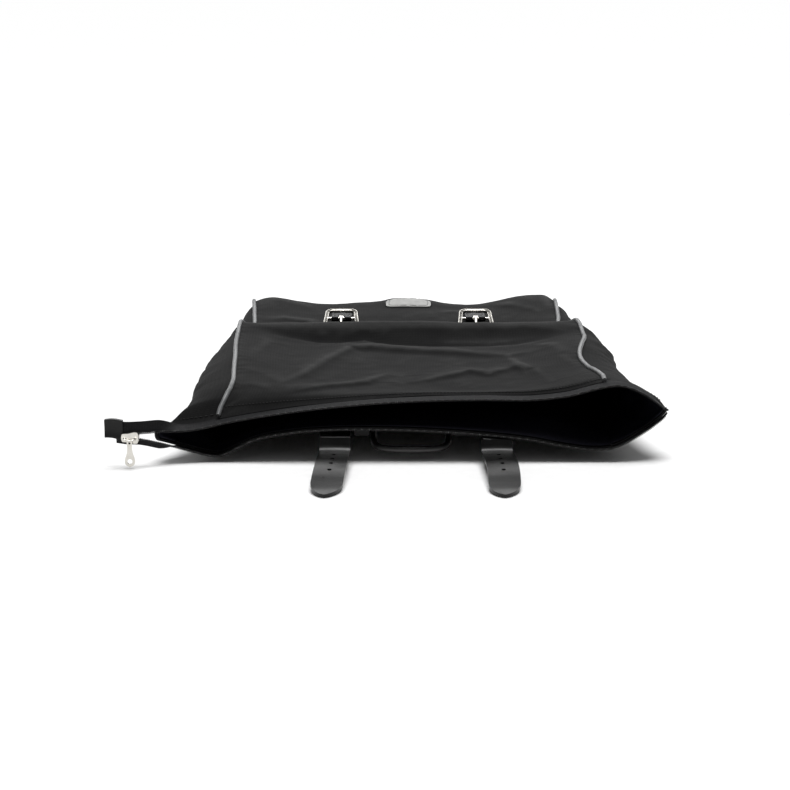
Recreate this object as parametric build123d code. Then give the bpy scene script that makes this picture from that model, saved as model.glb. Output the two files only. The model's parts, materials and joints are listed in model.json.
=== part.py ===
from build123d import *
import math
import os

# Pannier bag, empty, lying on its back with the top unrolled.
# +X runs across the bag, +Y from the mouth to the bottom of the bag, +Z up from the floor.
# All sizes in millimetres, measured from the middle of the back lip until the last step,
# which moves the origin to the middle of the bag's footprint.

ORIGIN_X = -24.0               # middle of the footprint, measured from the lip
ORIGIN_Y = 192.0

CANVAS = 2.2                   # canvas with its backing
GAP = 0.4                      # air between layers
LINING = 1.2
LINING_GAP = 1.4               # air between canvas and lining
BOARD = 2.0
PANEL_CUT = 0.8                # each layer stops this far short of its corners
GUSSET_CUT = 5.5
FRONT_LINING_CUT = 6.5
GUSSET_LINING_CUT = 8.5
BACK_LINING_CUT = 3.0
UPPER_END = 1.5                # linings stop this far short of the canvas's ends
LOWER_END = 3.0
BOARD_END = 4.0
BACK_LINING_END = 8.0

SPLIT = 177.0                  # where the top rolls over the front
SPLIT_GAP = 1.5                # half the gap between the two halves
BOTTOM = 500.0                 # front and back panels end here

# Stations along the bag. Each holds (y, [(x, z), ...]) of the outer face.
FRONT_UPPER = [
    (12.0, [(-178, 43), (-120, 49), (0, 55), (120, 60), (178, 69)]),
    (60.0, [(-169, 60), (-120, 55), (0, 54), (120, 57), (172, 70)]),
    (130.0, [(-171, 68), (-120, 57), (0, 55), (120, 57), (168, 69)]),
    (SPLIT - SPLIT_GAP, [(-174, 70), (-120, 59), (0, 57), (120, 59), (175, 71)]),
]
FRONT_LOWER = [
    (SPLIT + SPLIT_GAP, [(-174, 70), (-120, 59), (0, 57), (120, 59), (175, 71)]),
    (270.0, [(-176, 71), (-120, 61), (0, 60), (120, 61), (178, 71)]),
    (297.0, [(-177, 75), (-120, 73), (0, 73), (120, 73), (179, 75)]),
    (335.0, [(-172, 62), (-120, 54), (0, 54), (120, 54), (168, 62)]),
    (364.0, [(-171, 62), (-120, 54), (0, 54), (120, 54), (167, 62)]),
    (415.0, [(-173, 64), (-120, 60), (0, 60), (120, 60), (168, 64)]),
    (BOTTOM, [(-179, 66), (-120, 60.5), (0, 60.5), (120, 60.5), (173, 66)]),
]
BACK_UPPER = [
    (0.0, [(190, 10), (95, 26), (0, 28.5), (-95, 26), (-178, 7)]),
    (60.0, [(188, 10), (95, 26), (0, 28), (-95, 26), (-181, 8)]),
    (130.0, [(185, 11), (120, 26), (0, 27.5), (-120, 26), (-182, 10)]),
    (SPLIT - SPLIT_GAP, [(184, 18), (172, 26.5), (0, 26.5), (-172, 26.5), (-184, 18)]),
]
BACK_LOWER = [
    (SPLIT + SPLIT_GAP, [(184, 18), (172, 26.5), (0, 26.5), (-172, 26.5), (-184, 18)]),
    (245.0, [(184, 18), (172, 26.5), (0, 26.5), (-172, 26.5), (-184, 18)]),
    (400.0, [(182, 12), (165, 17), (0, 17), (-165, 17), (-182, 12)]),
    (BOTTOM, [(180, 6), (165, 8), (0, 8), (-165, 8), (-180, 6)]),
]
BACK_UPPER_FLAT = [(y, line[1:-1]) for y, line in BACK_UPPER]
BACK_LOWER_FLAT = [(y, line[1:-1]) for y, line in BACK_LOWER]
LEFT_UPPER = [
    (6.0, [(-178, 7), (-206, 16), (-222, 32), (-178, 43)]),
    (60.0, [(-181, 8), (-206, 20), (-212, 44), (-169, 60)]),
    (130.0, [(-182, 10), (-204, 24), (-209, 47), (-171, 68)]),
    (SPLIT - SPLIT_GAP, [(-184, 18), (-202, 28), (-207, 49), (-174, 70)]),
]
LEFT_LOWER = [
    (SPLIT + SPLIT_GAP, [(-184, 18), (-202, 28), (-207, 49), (-174, 70)]),
    (270.0, [(-184, 17), (-199, 28), (-199, 50), (-176, 71)]),
    (297.0, [(-184, 16), (-197, 28), (-196, 50), (-177, 75)]),
    (335.0, [(-183, 15), (-195, 27), (-193, 46), (-172, 62)]),
    (364.0, [(-183, 14), (-193, 26), (-192, 46), (-171, 62)]),
    (415.0, [(-182, 12), (-190, 25), (-190, 47), (-173, 64)]),
    (BOTTOM, [(-180, 6), (-186, 22), (-187, 48), (-179, 66)]),
]
RIGHT_UPPER = [
    (6.0, [(178, 69), (235, 47), (224, 26), (190, 10)]),
    (60.0, [(172, 70), (222, 49), (215, 26), (188, 10)]),
    (130.0, [(168, 69), (213, 48), (207, 25), (185, 11)]),
    (SPLIT - SPLIT_GAP, [(175, 71), (210, 48), (204, 28), (184, 18)]),
]
RIGHT_LOWER = [
    (SPLIT + SPLIT_GAP, [(175, 71), (210, 48), (204, 28), (184, 18)]),
    (270.0, [(178, 71), (204, 50), (200, 28), (184, 17)]),
    (297.0, [(179, 75), (201, 51), (198, 28), (184, 16)]),
    (335.0, [(168, 62), (192, 47), (194, 27), (183, 15)]),
    (364.0, [(167, 62), (190, 47), (192, 26), (183, 14)]),
    (415.0, [(168, 64), (187, 48), (190, 25), (182, 12)]),
    (BOTTOM, [(173, 66), (181, 48), (184, 22), (180, 6)]),
]

PIPING_R = 2.2
PIPING_OUT = 1.6               # how far the piping stands out of the seam, both ways

BUCKLE_X = 75.0
BUCKLE_Y = 380.0
BUCKLE_Z = 63.4                # centre bar
BUCKLE_TILT = 18.0             # the half towards the mouth hangs down
BUCKLE_THICK = 3.4
BAR_R = 1.6
BORE_R = 1.68
HIDE = 1.6                     # chape leather

STRAP_W = 28.5
STRAP_T = 3.0
STRAP_HINGE_Y = -8.6
STRAP_TOP = 24.9               # upper face of the riveted end
STRAP_BACK = 2.8               # the riveted end starts this far behind the hinge
STRAP_RIVETS = [25.0, 65.0]
STRAP_HOLE_R = 2.0
STRAP_HOLES = [-27.0, -42.0, -57.0, -72.0]
STRAP_TIP = -121.0

HANDLE_X = 35.5
ANCHOR_X = 46.5
HANDLE_Y = 48.0
HANDLE_Z = 18.0
HANDLE_R = 3.0
HANDLE_PIN_R = 2.0
ANCHOR_RIVET_Y = 17.0          # behind the handle's pin

SHANK_HOLE_R = 2.1             # holes for rivets and screws, by what they go through
RIVET_HOLE_R = 2.3
PLATE_HOLE_R = 2.2
SCREW_HOLE_R = 2.4
THROUGH = 100.0                # longer than any piece is thick
CHAPE_RIVETS = [-6.0, 6.0]
CHAPE_RIVET_Y = 34.0           # behind the centre bar

SLIDER = (-257.0, -17.0, 28.0)
PULL_PIN_Y = -23.4
PULL_PIN_Z = 26.0

RAIL_Y = 225.0
RAIL_HALF = 165.0
RAIL_LOW = 19.3
RAIL_HIGH = 26.2
RAIL_SCREWS = [-158.0, -20.0, 20.0, 158.0]
HOOK_X = 100.0
HOOK_HALF = 12.0
TUBE_R = 6.0                   # rack tube in the hook
TUBE_Z = 9.5

FIN_Y = 400.0
FIN_SCREWS = [-15.0, 15.0]


def offset_line(points, distance):
    """Move an open line of (x, z) points to its right, towards the inside of the bag."""
    moved = []
    for i, (x, z) in enumerate(points):
        nx = nz = 0.0
        for j in (i - 1, i):
            if 0 <= j < len(points) - 1:
                dx = points[j + 1][0] - points[j][0]
                dz = points[j + 1][1] - points[j][1]
                length = math.hypot(dx, dz)
                nx += dz / length
                nz -= dx / length
        length = math.hypot(nx, nz)
        moved.append((x + nx / length * distance, z + nz / length * distance))
    return moved


def trimmed(points, cut):
    """Shorten both ends of an open line of points."""
    line = list(points)
    for end, inner in ((0, 1), (-1, -2)):
        dx = line[inner][0] - line[end][0]
        dz = line[inner][1] - line[end][1]
        part = cut / math.hypot(dx, dz)
        line[end] = (line[end][0] + dx * part, line[end][1] + dz * part)
    return line


def skin(rings):
    """A closed faceted solid through rings of points, one ring after another.

    The first half of a ring is the outer line and the second half the inner line, run
    backwards. Their facets are cut along the same diagonals, so a thin layer keeps its
    thickness where it twists.
    """
    faces = [Face(Wire.make_polygon(rings[0])), Face(Wire.make_polygon(rings[-1]))]
    for this, after in zip(rings, rings[1:]):
        for i in range(len(this)):
            j = (i + 1) % len(this)
            corners = [this[i], this[j], after[j], after[i]]
            if i >= len(this) // 2:
                corners = corners[1:] + corners[:1]
            faces.append(Face(Wire.make_polygon(corners[:3])))
            faces.append(Face(Wire.make_polygon([corners[0], corners[2], corners[3]])))
    return Solid(Shell(faces))


def layer(stations, near, far, cut):
    """One cloth or board layer, from near to far inside the outer face."""
    rings = []
    for y, points in stations:
        line = trimmed(points, cut)
        ring = offset_line(line, near) + offset_line(line, far)[::-1]
        rings.append([(x, y, z) for x, z in ring])
    return skin(rings)


def tube(points, radius, bend):
    """A round tube along straight runs joined by arcs."""
    path = FilletPolyline(*points, radius=bend)
    return sweep(Plane(origin=path @ 0, z_dir=path % 0) * Circle(radius), path=path)


def ribbon(points, half_y, half_z):
    """A band along X whose cross-section is a small rectangle at each (x, y, z)."""
    corners = [(-half_y, -half_z), (half_y, -half_z), (half_y, half_z), (-half_y, half_z)]
    return skin([[(x, y + dy, z + dz) for dy, dz in corners] for x, y, z in points])


def block(x0, x1, y0, y1, z0, z1):
    """A box between two corners."""
    return Pos((x0 + x1) / 2, (y0 + y1) / 2, (z0 + z1) / 2) * Box(x1 - x0, y1 - y0, z1 - z0)


def post(x, y, z0, z1, radius):
    """An upright cylinder."""
    return Pos(x, y, (z0 + z1) / 2) * Cylinder(radius, z1 - z0)


def pin(x0, x1, y, z, radius):
    """A cylinder along X."""
    return Pos((x0 + x1) / 2, y, z) * Rot(0, 90, 0) * Cylinder(radius, x1 - x0)


def profile(points, x0, x1):
    """A prism along X from (y, z) corners."""
    start = Wire.make_polygon([(x0, y, z) for y, z in points])
    return extrude(Face(start), amount=x1 - x0, dir=(1, 0, 0))


def drilled(shape, places, radius, z0=-THROUGH, z1=THROUGH):
    """Upright holes through a piece."""
    for x, y in places:
        shape = shape - post(x, y, z0, z1, radius)
    return shape


def piping(stations, side):
    """Piping along one front seam, just outside the corner of front and gusset."""
    end = 0 if side < 0 else -1
    points = []
    for y, line in stations:
        x, z = line[end]
        points.append((x + side * PIPING_OUT, y, z + PIPING_OUT))
    return tube(points, PIPING_R, 25)


def side_stations(stations, extra):
    """The first and last station moved in or out along the bag."""
    (first_y, first), (last_y, last) = stations[0], stations[-1]
    return [(first_y + extra, first)] + stations[1:-1] + [(last_y - extra, last)]


rail_places = [(x, RAIL_Y) for x in RAIL_SCREWS]
fin_places = [(x, FIN_Y + 13) for x in FIN_SCREWS]
strap_places = [(side * BUCKLE_X, y) for side in (-1, 1) for y in STRAP_RIVETS]
handle_places = [(side * ANCHOR_X, HANDLE_Y + ANCHOR_RIVET_Y) for side in (-1, 1)]

parts = {}

# Canvas panels
parts["front_panel_lower"] = layer(FRONT_LOWER, 0, CANVAS, PANEL_CUT)
parts["front_panel_upper"] = layer(FRONT_UPPER, 0, CANVAS, PANEL_CUT)
parts["back_panel_lower"] = drilled(layer(BACK_LOWER, 0, CANVAS, PANEL_CUT),
                                    rail_places + fin_places, SCREW_HOLE_R)
parts["back_panel_upper"] = drilled(layer(BACK_UPPER, 0, CANVAS, PANEL_CUT),
                                    strap_places + handle_places, RIVET_HOLE_R)
parts["left_gusset_lower"] = layer(LEFT_LOWER, 0, CANVAS, GUSSET_CUT)
parts["left_gusset_upper"] = layer(LEFT_UPPER, 0, CANVAS, GUSSET_CUT)
parts["right_gusset_lower"] = layer(RIGHT_LOWER, 0, CANVAS, GUSSET_CUT)
parts["right_gusset_upper"] = layer(RIGHT_UPPER, 0, CANVAS, GUSSET_CUT)
bottom_outer = [(BOTTOM + 0.6, 67), (BOTTOM + 5, 50), (BOTTOM + 5, 20), (BOTTOM + 0.6, 7)]
bottom_inner = [(y - CANVAS, z) for y, z in bottom_outer]
bottom_inner[0] = (BOTTOM + 0.3, 67)
bottom_inner[-1] = (BOTTOM + 0.3, 7)
parts["bottom_panel"] = profile(bottom_outer + bottom_inner[::-1], -178, 178)

# Lining: one sheet behind each panel, and a board between lining and back
near, far = CANVAS + LINING_GAP, CANVAS + LINING_GAP + LINING
board_near = CANVAS + GAP
deep = board_near + BOARD + GAP
parts["lining_upper"] = Compound(children=[
    layer(side_stations(FRONT_UPPER, UPPER_END), near, far, FRONT_LINING_CUT),
    layer(side_stations(LEFT_UPPER, UPPER_END), near, far, GUSSET_LINING_CUT),
    layer(side_stations(RIGHT_UPPER, UPPER_END), near, far, GUSSET_LINING_CUT),
    drilled(layer(side_stations(BACK_UPPER_FLAT, UPPER_END), near, far, BACK_LINING_CUT),
            strap_places + handle_places, RIVET_HOLE_R),
])
parts["lining_lower"] = Compound(children=[
    layer(side_stations(FRONT_LOWER, LOWER_END), near, far, FRONT_LINING_CUT),
    layer(side_stations(LEFT_LOWER, LOWER_END), near, far, GUSSET_LINING_CUT),
    layer(side_stations(RIGHT_LOWER, LOWER_END), near, far, GUSSET_LINING_CUT),
    drilled(layer(side_stations(BACK_LOWER_FLAT, BACK_LINING_END), deep, deep + LINING, BACK_LINING_CUT),
            rail_places + fin_places, SCREW_HOLE_R),
])
parts["back_board"] = drilled(layer(side_stations(BACK_LOWER_FLAT, BOARD_END), board_near, board_near + BOARD,
                                    BACK_LINING_CUT),
                              rail_places + fin_places, SCREW_HOLE_R)
parts["base_board"] = block(-168, 168, BOTTOM - 2.6, BOTTOM - 0.6, 20, 55)

# Piping
for name, side in (("left", -1), ("right", 1)):
    parts[f"{name}_piping_upper"] = piping(FRONT_UPPER, side)
    parts[f"{name}_piping_lower"] = piping(FRONT_LOWER, side)


# Zip: a tape and a coil on each lip, a folded tab on the tail
UPPER_TAPE = [(-266, -17, 36.5), (-247, -17, 36.5), (-231, -14, 42), (-212, -8, 41), (-178, 6, 45),
              (-60, 6, 52), (60, 6, 55), (140, 6, 60), (178, 5, 66), (205, 2, 61), (228, 2, 53)]
LOWER_TAPE = [(-266, -17, 23.2), (-247, -17, 22.5), (-231, -14, 17), (-205, -7, 11), (-178, -5, 11),
              (-95, -5.5, 27.6), (95, -5.5, 27.6), (140, -5.5, 20), (190, -5, 14), (222, 0, 27), (229, 1, 32)]
TAPE_HALF = 4.8
BACK_TAPE_HALF = 3.2
TAPE_THICK = 1.0
BACK_TAPE_OUT = 1.5            # the back tape stands this far in front of the lip
COIL_R = 1.2
COIL_GAP = 0.2
BACK_COIL_GAP = 0.6

back_tape = [(x, y - BACK_TAPE_OUT * (abs(x) < 200), z) for x, y, z in LOWER_TAPE]
front_coil = [(x, y, z - (TAPE_HALF + COIL_R + COIL_GAP)) for x, y, z in UPPER_TAPE[2:]]
back_coil = [(x, y, z + BACK_TAPE_HALF + COIL_R + BACK_COIL_GAP) for x, y, z in back_tape[2:]]
parts["zip_tape_front"] = ribbon(UPPER_TAPE, TAPE_THICK / 2, TAPE_HALF)
parts["zip_tape_back"] = ribbon(back_tape, TAPE_THICK / 2, BACK_TAPE_HALF)
parts["zip_coil_front"] = tube(front_coil, COIL_R, 6)
parts["zip_coil_back"] = tube(back_coil, COIL_R, 4)
tab = block(-283, -266.4, -19.6, -14.4, 22, 47)
parts["zip_end_tab"] = fillet(tab.edges().filter_by(Axis.Y), 3)
parts["zip_top_stops"] = Compound(children=[
    block(-248.5, -245.5, -18.5, -17.7, 32, 34),
    block(-248.5, -245.5, -18.5, -17.7, 24, 25.6),
])

sx, sy, sz = SLIDER
body_slider = (block(sx - 8, sx + 8, sy - 4.2, sy - 2.4, sz - 5.7, sz + 5.7)
               + block(sx - 8, sx + 8, sy + 2.4, sy + 4.2, sz - 5.7, sz + 5.7)
               + block(sx + 1, sx + 6, sy - 2.4, sy + 2.4, sz - 1.4, sz + 1.4))
body_slider = fillet(body_slider.edges().filter_by(Axis.Y).group_by(Axis.X)[-1], 2.5)
body_slider = (body_slider
               + block(sx - 4.8, sx - 3.2, PULL_PIN_Y - 1.4, sy - 4.2, PULL_PIN_Z - 1.4, PULL_PIN_Z + 1.4)
               + block(sx + 3.2, sx + 4.8, PULL_PIN_Y - 1.4, sy - 4.2, PULL_PIN_Z - 1.4, PULL_PIN_Z + 1.4)
               + pin(sx - 4, sx + 4, PULL_PIN_Y, PULL_PIN_Z, 0.9))
parts["zip_slider"] = body_slider
eye = pin(sx - 2.6, sx + 2.6, PULL_PIN_Y, PULL_PIN_Z, 2.0)
neck = block(sx - 2.6, sx + 2.6, PULL_PIN_Y - 0.8, PULL_PIN_Y + 0.8, PULL_PIN_Z - 9, PULL_PIN_Z)
drop = block(sx - 4.7, sx + 4.7, PULL_PIN_Y - 0.8, PULL_PIN_Y + 0.8, 1.2, PULL_PIN_Z - 8)
drop = fillet(drop.edges().filter_by(Axis.Y), 4)
hole = Pos(sx, PULL_PIN_Y, 6.6) * Rot(90, 0, 0) * Cylinder(2.2, 4)
parts["zip_pull"] = (eye + neck + drop - hole
                     - pin(sx - 4, sx + 4, PULL_PIN_Y, PULL_PIN_Z, 0.98))


# Leather label
label = block(-21, 31, 456, 482, 61.0, 63.4)
parts["label_patch"] = fillet(label.edges().filter_by(Axis.Z), 5)


def buckle_frame(x):
    """Centre-bar buckle: a rounded frame, narrower at the bag's bottom, and its bar."""
    outline = Polygon((-20.5, -21), (20.5, -21), (17.5, 21), (-17.5, 21), align=None)
    outer = fillet(outline.vertices(), 8)
    window = Polygon((-15.8, -16.4), (15.8, -16.4), (13.3, 16.4), (-13.3, 16.4), align=None)
    inner = fillet(window.vertices(), 4.5)
    ring = extrude(outer - inner, amount=BUCKLE_THICK / 2, both=True)
    rim = fillet(ring.edges().group_by(Axis.Z)[-1], 1.2)
    tilted = Pos(x, BUCKLE_Y, BUCKLE_Z) * Rot(BUCKLE_TILT, 0, 0) * rim
    return tilted + pin(x - 17, x + 17, BUCKLE_Y, BUCKLE_Z, BAR_R)


def chape(x):
    """Leather folded round the centre bar and laid flat towards the bag's bottom."""
    y, z = BUCKLE_Y, BUCKLE_Z
    top, bottom = 64.05, 60.8
    outer = BORE_R + HIDE
    loop = pin(x - 11, x + 11, y, z, outer) - pin(x - 12, x + 12, y, z, BORE_R)
    upper = profile([(y, z + BORE_R + 0.05), (y, z + outer), (y + 14, top), (y + 40, top),
                     (y + 40, top - HIDE), (y + 13.2, top - HIDE)], x - 11, x + 11)
    lower = profile([(y, z - outer), (y, z - BORE_R - 0.05), (y + 7.5, bottom + HIDE), (y + 40, bottom + HIDE),
                     (y + 40, bottom), (y + 6.8, bottom)], x - 11, x + 11)
    slot = block(x - 3.2, x + 3.2, y - 6, y + 5.5, z - 6, z + 6)
    body = loop + upper + lower - slot - pin(x - 12, x + 12, y, z, BORE_R)
    return drilled(body, [(x + dx, y + CHAPE_RIVET_Y) for dx in CHAPE_RIVETS], 1.6)


def tongue(x):
    """Tongue: a ring on the bar and a needle that rests on the frame."""
    start, end = Vector(0, -1.0, 2.3), Vector(0, -21.5, 3.5)
    run = end - start
    needle = Plane(origin=start, z_dir=run) * Cylinder(1.4, run.length, align=(Align.CENTER,
                                                       Align.CENTER, Align.MIN))
    placed = Pos(x, BUCKLE_Y, BUCKLE_Z) * Rot(BUCKLE_TILT, 0, 0) * needle
    ring = pin(x - 2.4, x + 2.4, BUCKLE_Y, BUCKLE_Z, 3.4)
    return ring + placed - pin(x - 3, x + 3, BUCKLE_Y, BUCKLE_Z, BORE_R)


def strap_base(x):
    """Fixed end of a strap, riveted under the back panel."""
    base = block(x - STRAP_W / 2, x + STRAP_W / 2, STRAP_HINGE_Y + STRAP_BACK, 84, STRAP_TOP - STRAP_T, STRAP_TOP)
    return drilled(base, [(x, y) for y in STRAP_RIVETS], SHANK_HOLE_R)


def strap(x):
    """Free end of a strap: it drops to the floor in a low hump and has a row of holes."""
    top = [(STRAP_HINGE_Y, STRAP_TOP), (-13, 19.8), (-19, 15.0), (-28, 13.2), (-48, 14.4), (-72, 12.0),
           (-98, 6.4), (STRAP_TIP - 2, 3.2)]
    under = offset_line(top, -STRAP_T)
    body = profile(top + under[::-1], x - STRAP_W / 2, x + STRAP_W / 2)
    half = STRAP_W / 2
    plan = Polygon((-half, 10), (half, 10), (half, -100), (6, STRAP_TIP), (-6, STRAP_TIP), (-half, -100),
                   align=None)
    tip = plan.vertices().filter_by(lambda v: v.Y < -50)
    outline = extrude(fillet(tip, 8), amount=60, dir=(0, 0, 1))
    body = body & (Pos(x, 0, -5) * outline)
    return drilled(body, [(x, y) for y in STRAP_HOLES], STRAP_HOLE_R)


def rivets(places, low, high, head):
    """Rivets: a domed head below, a shank, and a burr above."""
    made = []
    for x, y in places:
        shank = post(x, y, low - 1.0, high + 1.0, 1.95)
        made.append(shank + post(x, y, low - 1.2, low - 0.1, head) + post(x, y, high + 0.1, high + 1.2, head))
    return Compound(children=made)


for name, side in (("left", -1), ("right", 1)):
    x = side * BUCKLE_X
    parts[f"{name}_buckle_frame"] = buckle_frame(x)
    parts[f"{name}_buckle_tongue"] = tongue(x)
    parts[f"{name}_buckle_chape"] = chape(x)
    parts[f"{name}_strap_base"] = strap_base(x)
    parts[f"{name}_strap"] = strap(x)
parts["chape_rivets"] = Compound(children=[
    post(side * BUCKLE_X + dx, BUCKLE_Y + CHAPE_RIVET_Y, 60.9, 64.1, 1.5)
    + post(side * BUCKLE_X + dx, BUCKLE_Y + CHAPE_RIVET_Y, 64.1, 64.9, 3.2)
    for side in (-1, 1) for dx in CHAPE_RIVETS])
parts["strap_rivets"] = rivets(strap_places, STRAP_TOP - STRAP_T, 33.8, 4.5)


# Grab handle under the back lip
def handle_anchor(x):
    """Leather loop that holds one end of the handle."""
    loop = block(x - 7, x + 7, HANDLE_Y - 4.2, HANDLE_Y + 6, HANDLE_Z - 4.2, 22.6)
    strip = block(x - 7, x + 7, HANDLE_Y, HANDLE_Y + 26, 22.6, 25.4)
    body = loop + strip - pin(x - 8, x + 8, HANDLE_Y, HANDLE_Z, HANDLE_PIN_R + 0.08)
    return drilled(body, [(x, HANDLE_Y + ANCHOR_RIVET_Y)], SHANK_HOLE_R)


parts["handle_anchors"] = Compound(children=[handle_anchor(side * ANCHOR_X) for side in (-1, 1)])
parts["handle_rivets"] = rivets(handle_places, 22.6, 33.6, 4.0)
loop_points = [(-HANDLE_X, HANDLE_Y, HANDLE_Z), (-HANDLE_X, 26, 13), (-29, 7, 11), (0, 4, 10.5), (29, 7, 11),
               (HANDLE_X, 26, 13), (HANDLE_X, HANDLE_Y, HANDLE_Z)]
handle = tube(loop_points, HANDLE_R, 9)
for side in (-1, 1):
    handle = handle + Pos(side * HANDLE_X, HANDLE_Y, HANDLE_Z) * Sphere(HANDLE_R)
    ends = sorted((side * HANDLE_X, side * (HANDLE_X + 18.5)))
    handle = handle + pin(ends[0], ends[1], HANDLE_Y, HANDLE_Z, HANDLE_PIN_R)
parts["grab_handle"] = handle


# Rack rail with its screws, plates and nuts
rail = block(-RAIL_HALF, RAIL_HALF, RAIL_Y - 12, RAIL_Y + 12, RAIL_LOW, RAIL_HIGH)
rail = rail - block(-RAIL_HALF - 1, RAIL_HALF + 1, RAIL_Y - 9.8, RAIL_Y + 9.8, RAIL_LOW + 1.6, RAIL_HIGH - 1.8)
rail = rail - block(-RAIL_HALF - 1, RAIL_HALF + 1, RAIL_Y - 4.4, RAIL_Y + 4.4, RAIL_LOW - 1, RAIL_LOW + 2)
parts["rack_rail"] = drilled(rail, rail_places, PLATE_HOLE_R, RAIL_HIGH - 3, RAIL_HIGH + 1)
parts["rail_end_caps"] = Compound(children=[
    block(side * (RAIL_HALF + 1.7) - 1.4, side * (RAIL_HALF + 1.7) + 1.4, RAIL_Y - 12, RAIL_Y + 12,
          RAIL_LOW, RAIL_HIGH) for side in (-1, 1)])
plate_low, plate_high = 33.0, 34.5
parts["rail_screws"] = Compound(children=[
    post(x, y, RAIL_HIGH - 4.4, RAIL_HIGH - 2.0, 4.0) + post(x, y, RAIL_HIGH - 3, plate_high + 4.5, 2.0)
    for x, y in rail_places])
parts["rail_plates"] = Compound(children=[
    drilled(block(x - 9, x + 9, RAIL_Y - 9, RAIL_Y + 9, plate_low, plate_high), [(x, RAIL_Y)], PLATE_HOLE_R)
    for x in RAIL_SCREWS])


def nut(x, y, z0):
    """Lock nut: a hexagon with its bore."""
    hexagon = extrude(RegularPolygon(4.4, 6), amount=3.6)
    return Pos(x, y, z0) * hexagon - post(x, y, z0 - 1, z0 + 5, 2.05)


parts["rail_nuts"] = Compound(children=[nut(x, y, plate_high + 0.2) for x, y in rail_places])


def rack_hook(x):
    """J-shaped hook, open towards the bag's bottom, with a foot in the rail and two cheeks for the lever."""
    y = RAIL_Y
    outer = block(x - HOOK_HALF, x + HOOK_HALF, y - 11, y + 15, 0, 19)
    low_edge = outer.edges().filter_by(Axis.X).sort_by(lambda e: e.center().Y + e.center().Z)[0]
    outer = fillet(low_edge, 8)
    bore = pin(x - 20, x + 20, y, TUBE_Z, TUBE_R)
    slot = block(x - 20, x + 20, y, y + 20, TUBE_Z - TUBE_R, TUBE_Z + TUBE_R)
    lever_room = block(x - 5.4, x + 5.4, y + 8.4, y + 20, -1, 20)
    foot = (block(x - 10, x + 10, y - 4, y + 4, 18.5, 22)
            + block(x - 10, x + 10, y - 9, y + 9, 21.3, 24.0))
    body = outer - bore - slot - lever_room + foot
    return body - pin(x - 20, x + 20, y + 12, 17.25, 1.08)


def hook_lever(x):
    """Lever that shuts the hook's mouth: a hub on a pin, a bolt and a thumb tab."""
    y = RAIL_Y + 12
    hub = pin(x - 5, x + 5, y, 17.25, 1.7)
    bolt = block(x - 5, x + 5, y - 1.5, y + 1.5, 4.4, 17.2)
    tab = block(x - 5, x + 5, y, y + 13, 15.9, 18.5)
    pivot = pin(x - 11.5, x + 11.5, y, 17.25, 1.0)
    return hub + bolt + tab + pivot


for name, side in (("left", -1), ("right", 1)):
    parts[f"{name}_rack_hook"] = rack_hook(side * HOOK_X)
    parts[f"{name}_hook_lever"] = hook_lever(side * HOOK_X)


# Lower hook: a fin that turns on a spigot under a screwed plate
plate = block(-24, 24, FIN_Y - 18, FIN_Y + 18, 12.6, 15.0)
plate = fillet(plate.edges().filter_by(Axis.Z), 6)
plate = plate + post(0, FIN_Y, 3.7, 13, 9) + post(0, FIN_Y, 1.5, 4, 3.0)
plate = plate - post(0, FIN_Y, 1, 9, 1.9)
parts["lower_hook_plate"] = drilled(plate, fin_places, PLATE_HOLE_R)
fin = block(-9, 9, FIN_Y - 50, FIN_Y + 9, 0, 3.4)
fin = fillet(fin.edges().filter_by(Axis.Z), 8)
fin = fin + block(-9, 9, FIN_Y - 50, FIN_Y - 46.6, 3.0, 7.5) - post(0, FIN_Y, -1, 4, 3.06)
parts["lower_hook_fin"] = fin - post(0, FIN_Y, -1, 1.3, 5.4)
parts["lower_hook_pivot_screw"] = post(0, FIN_Y, 0.1, 1.2, 5.0) + post(0, FIN_Y, 1.0, 8.5, 1.8)
parts["lower_hook_screws"] = Compound(children=[
    post(x, y, 11.2, 12.5, 4.0) + post(x, y, 12, 29.5, 2.0) for x, y in fin_places])
parts["lower_hook_nuts"] = Compound(children=[nut(x, y, 25.5) for x, y in fin_places])

os.makedirs("parts", exist_ok=True)
for name, shape in parts.items():
    moved = Pos(-ORIGIN_X, -ORIGIN_Y, 0) * shape
    export_step(moved, f"parts/{name}.step")

box = Compound(children=[Pos(-ORIGIN_X, -ORIGIN_Y, 0) * s for s in parts.values()]).bounding_box()
print("nodes", len(parts), "box", box.min, box.max)
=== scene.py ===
"""Canvas pannier bag, empty and unrolled, lying on its back with its zipped mouth open."""

import json
import logging
import math
from contextlib import contextmanager
from dataclasses import dataclass, field
from enum import Enum
from typing import Callable, Iterator, Sequence

import bpy
import numpy as np
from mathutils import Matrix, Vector, noise


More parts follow.
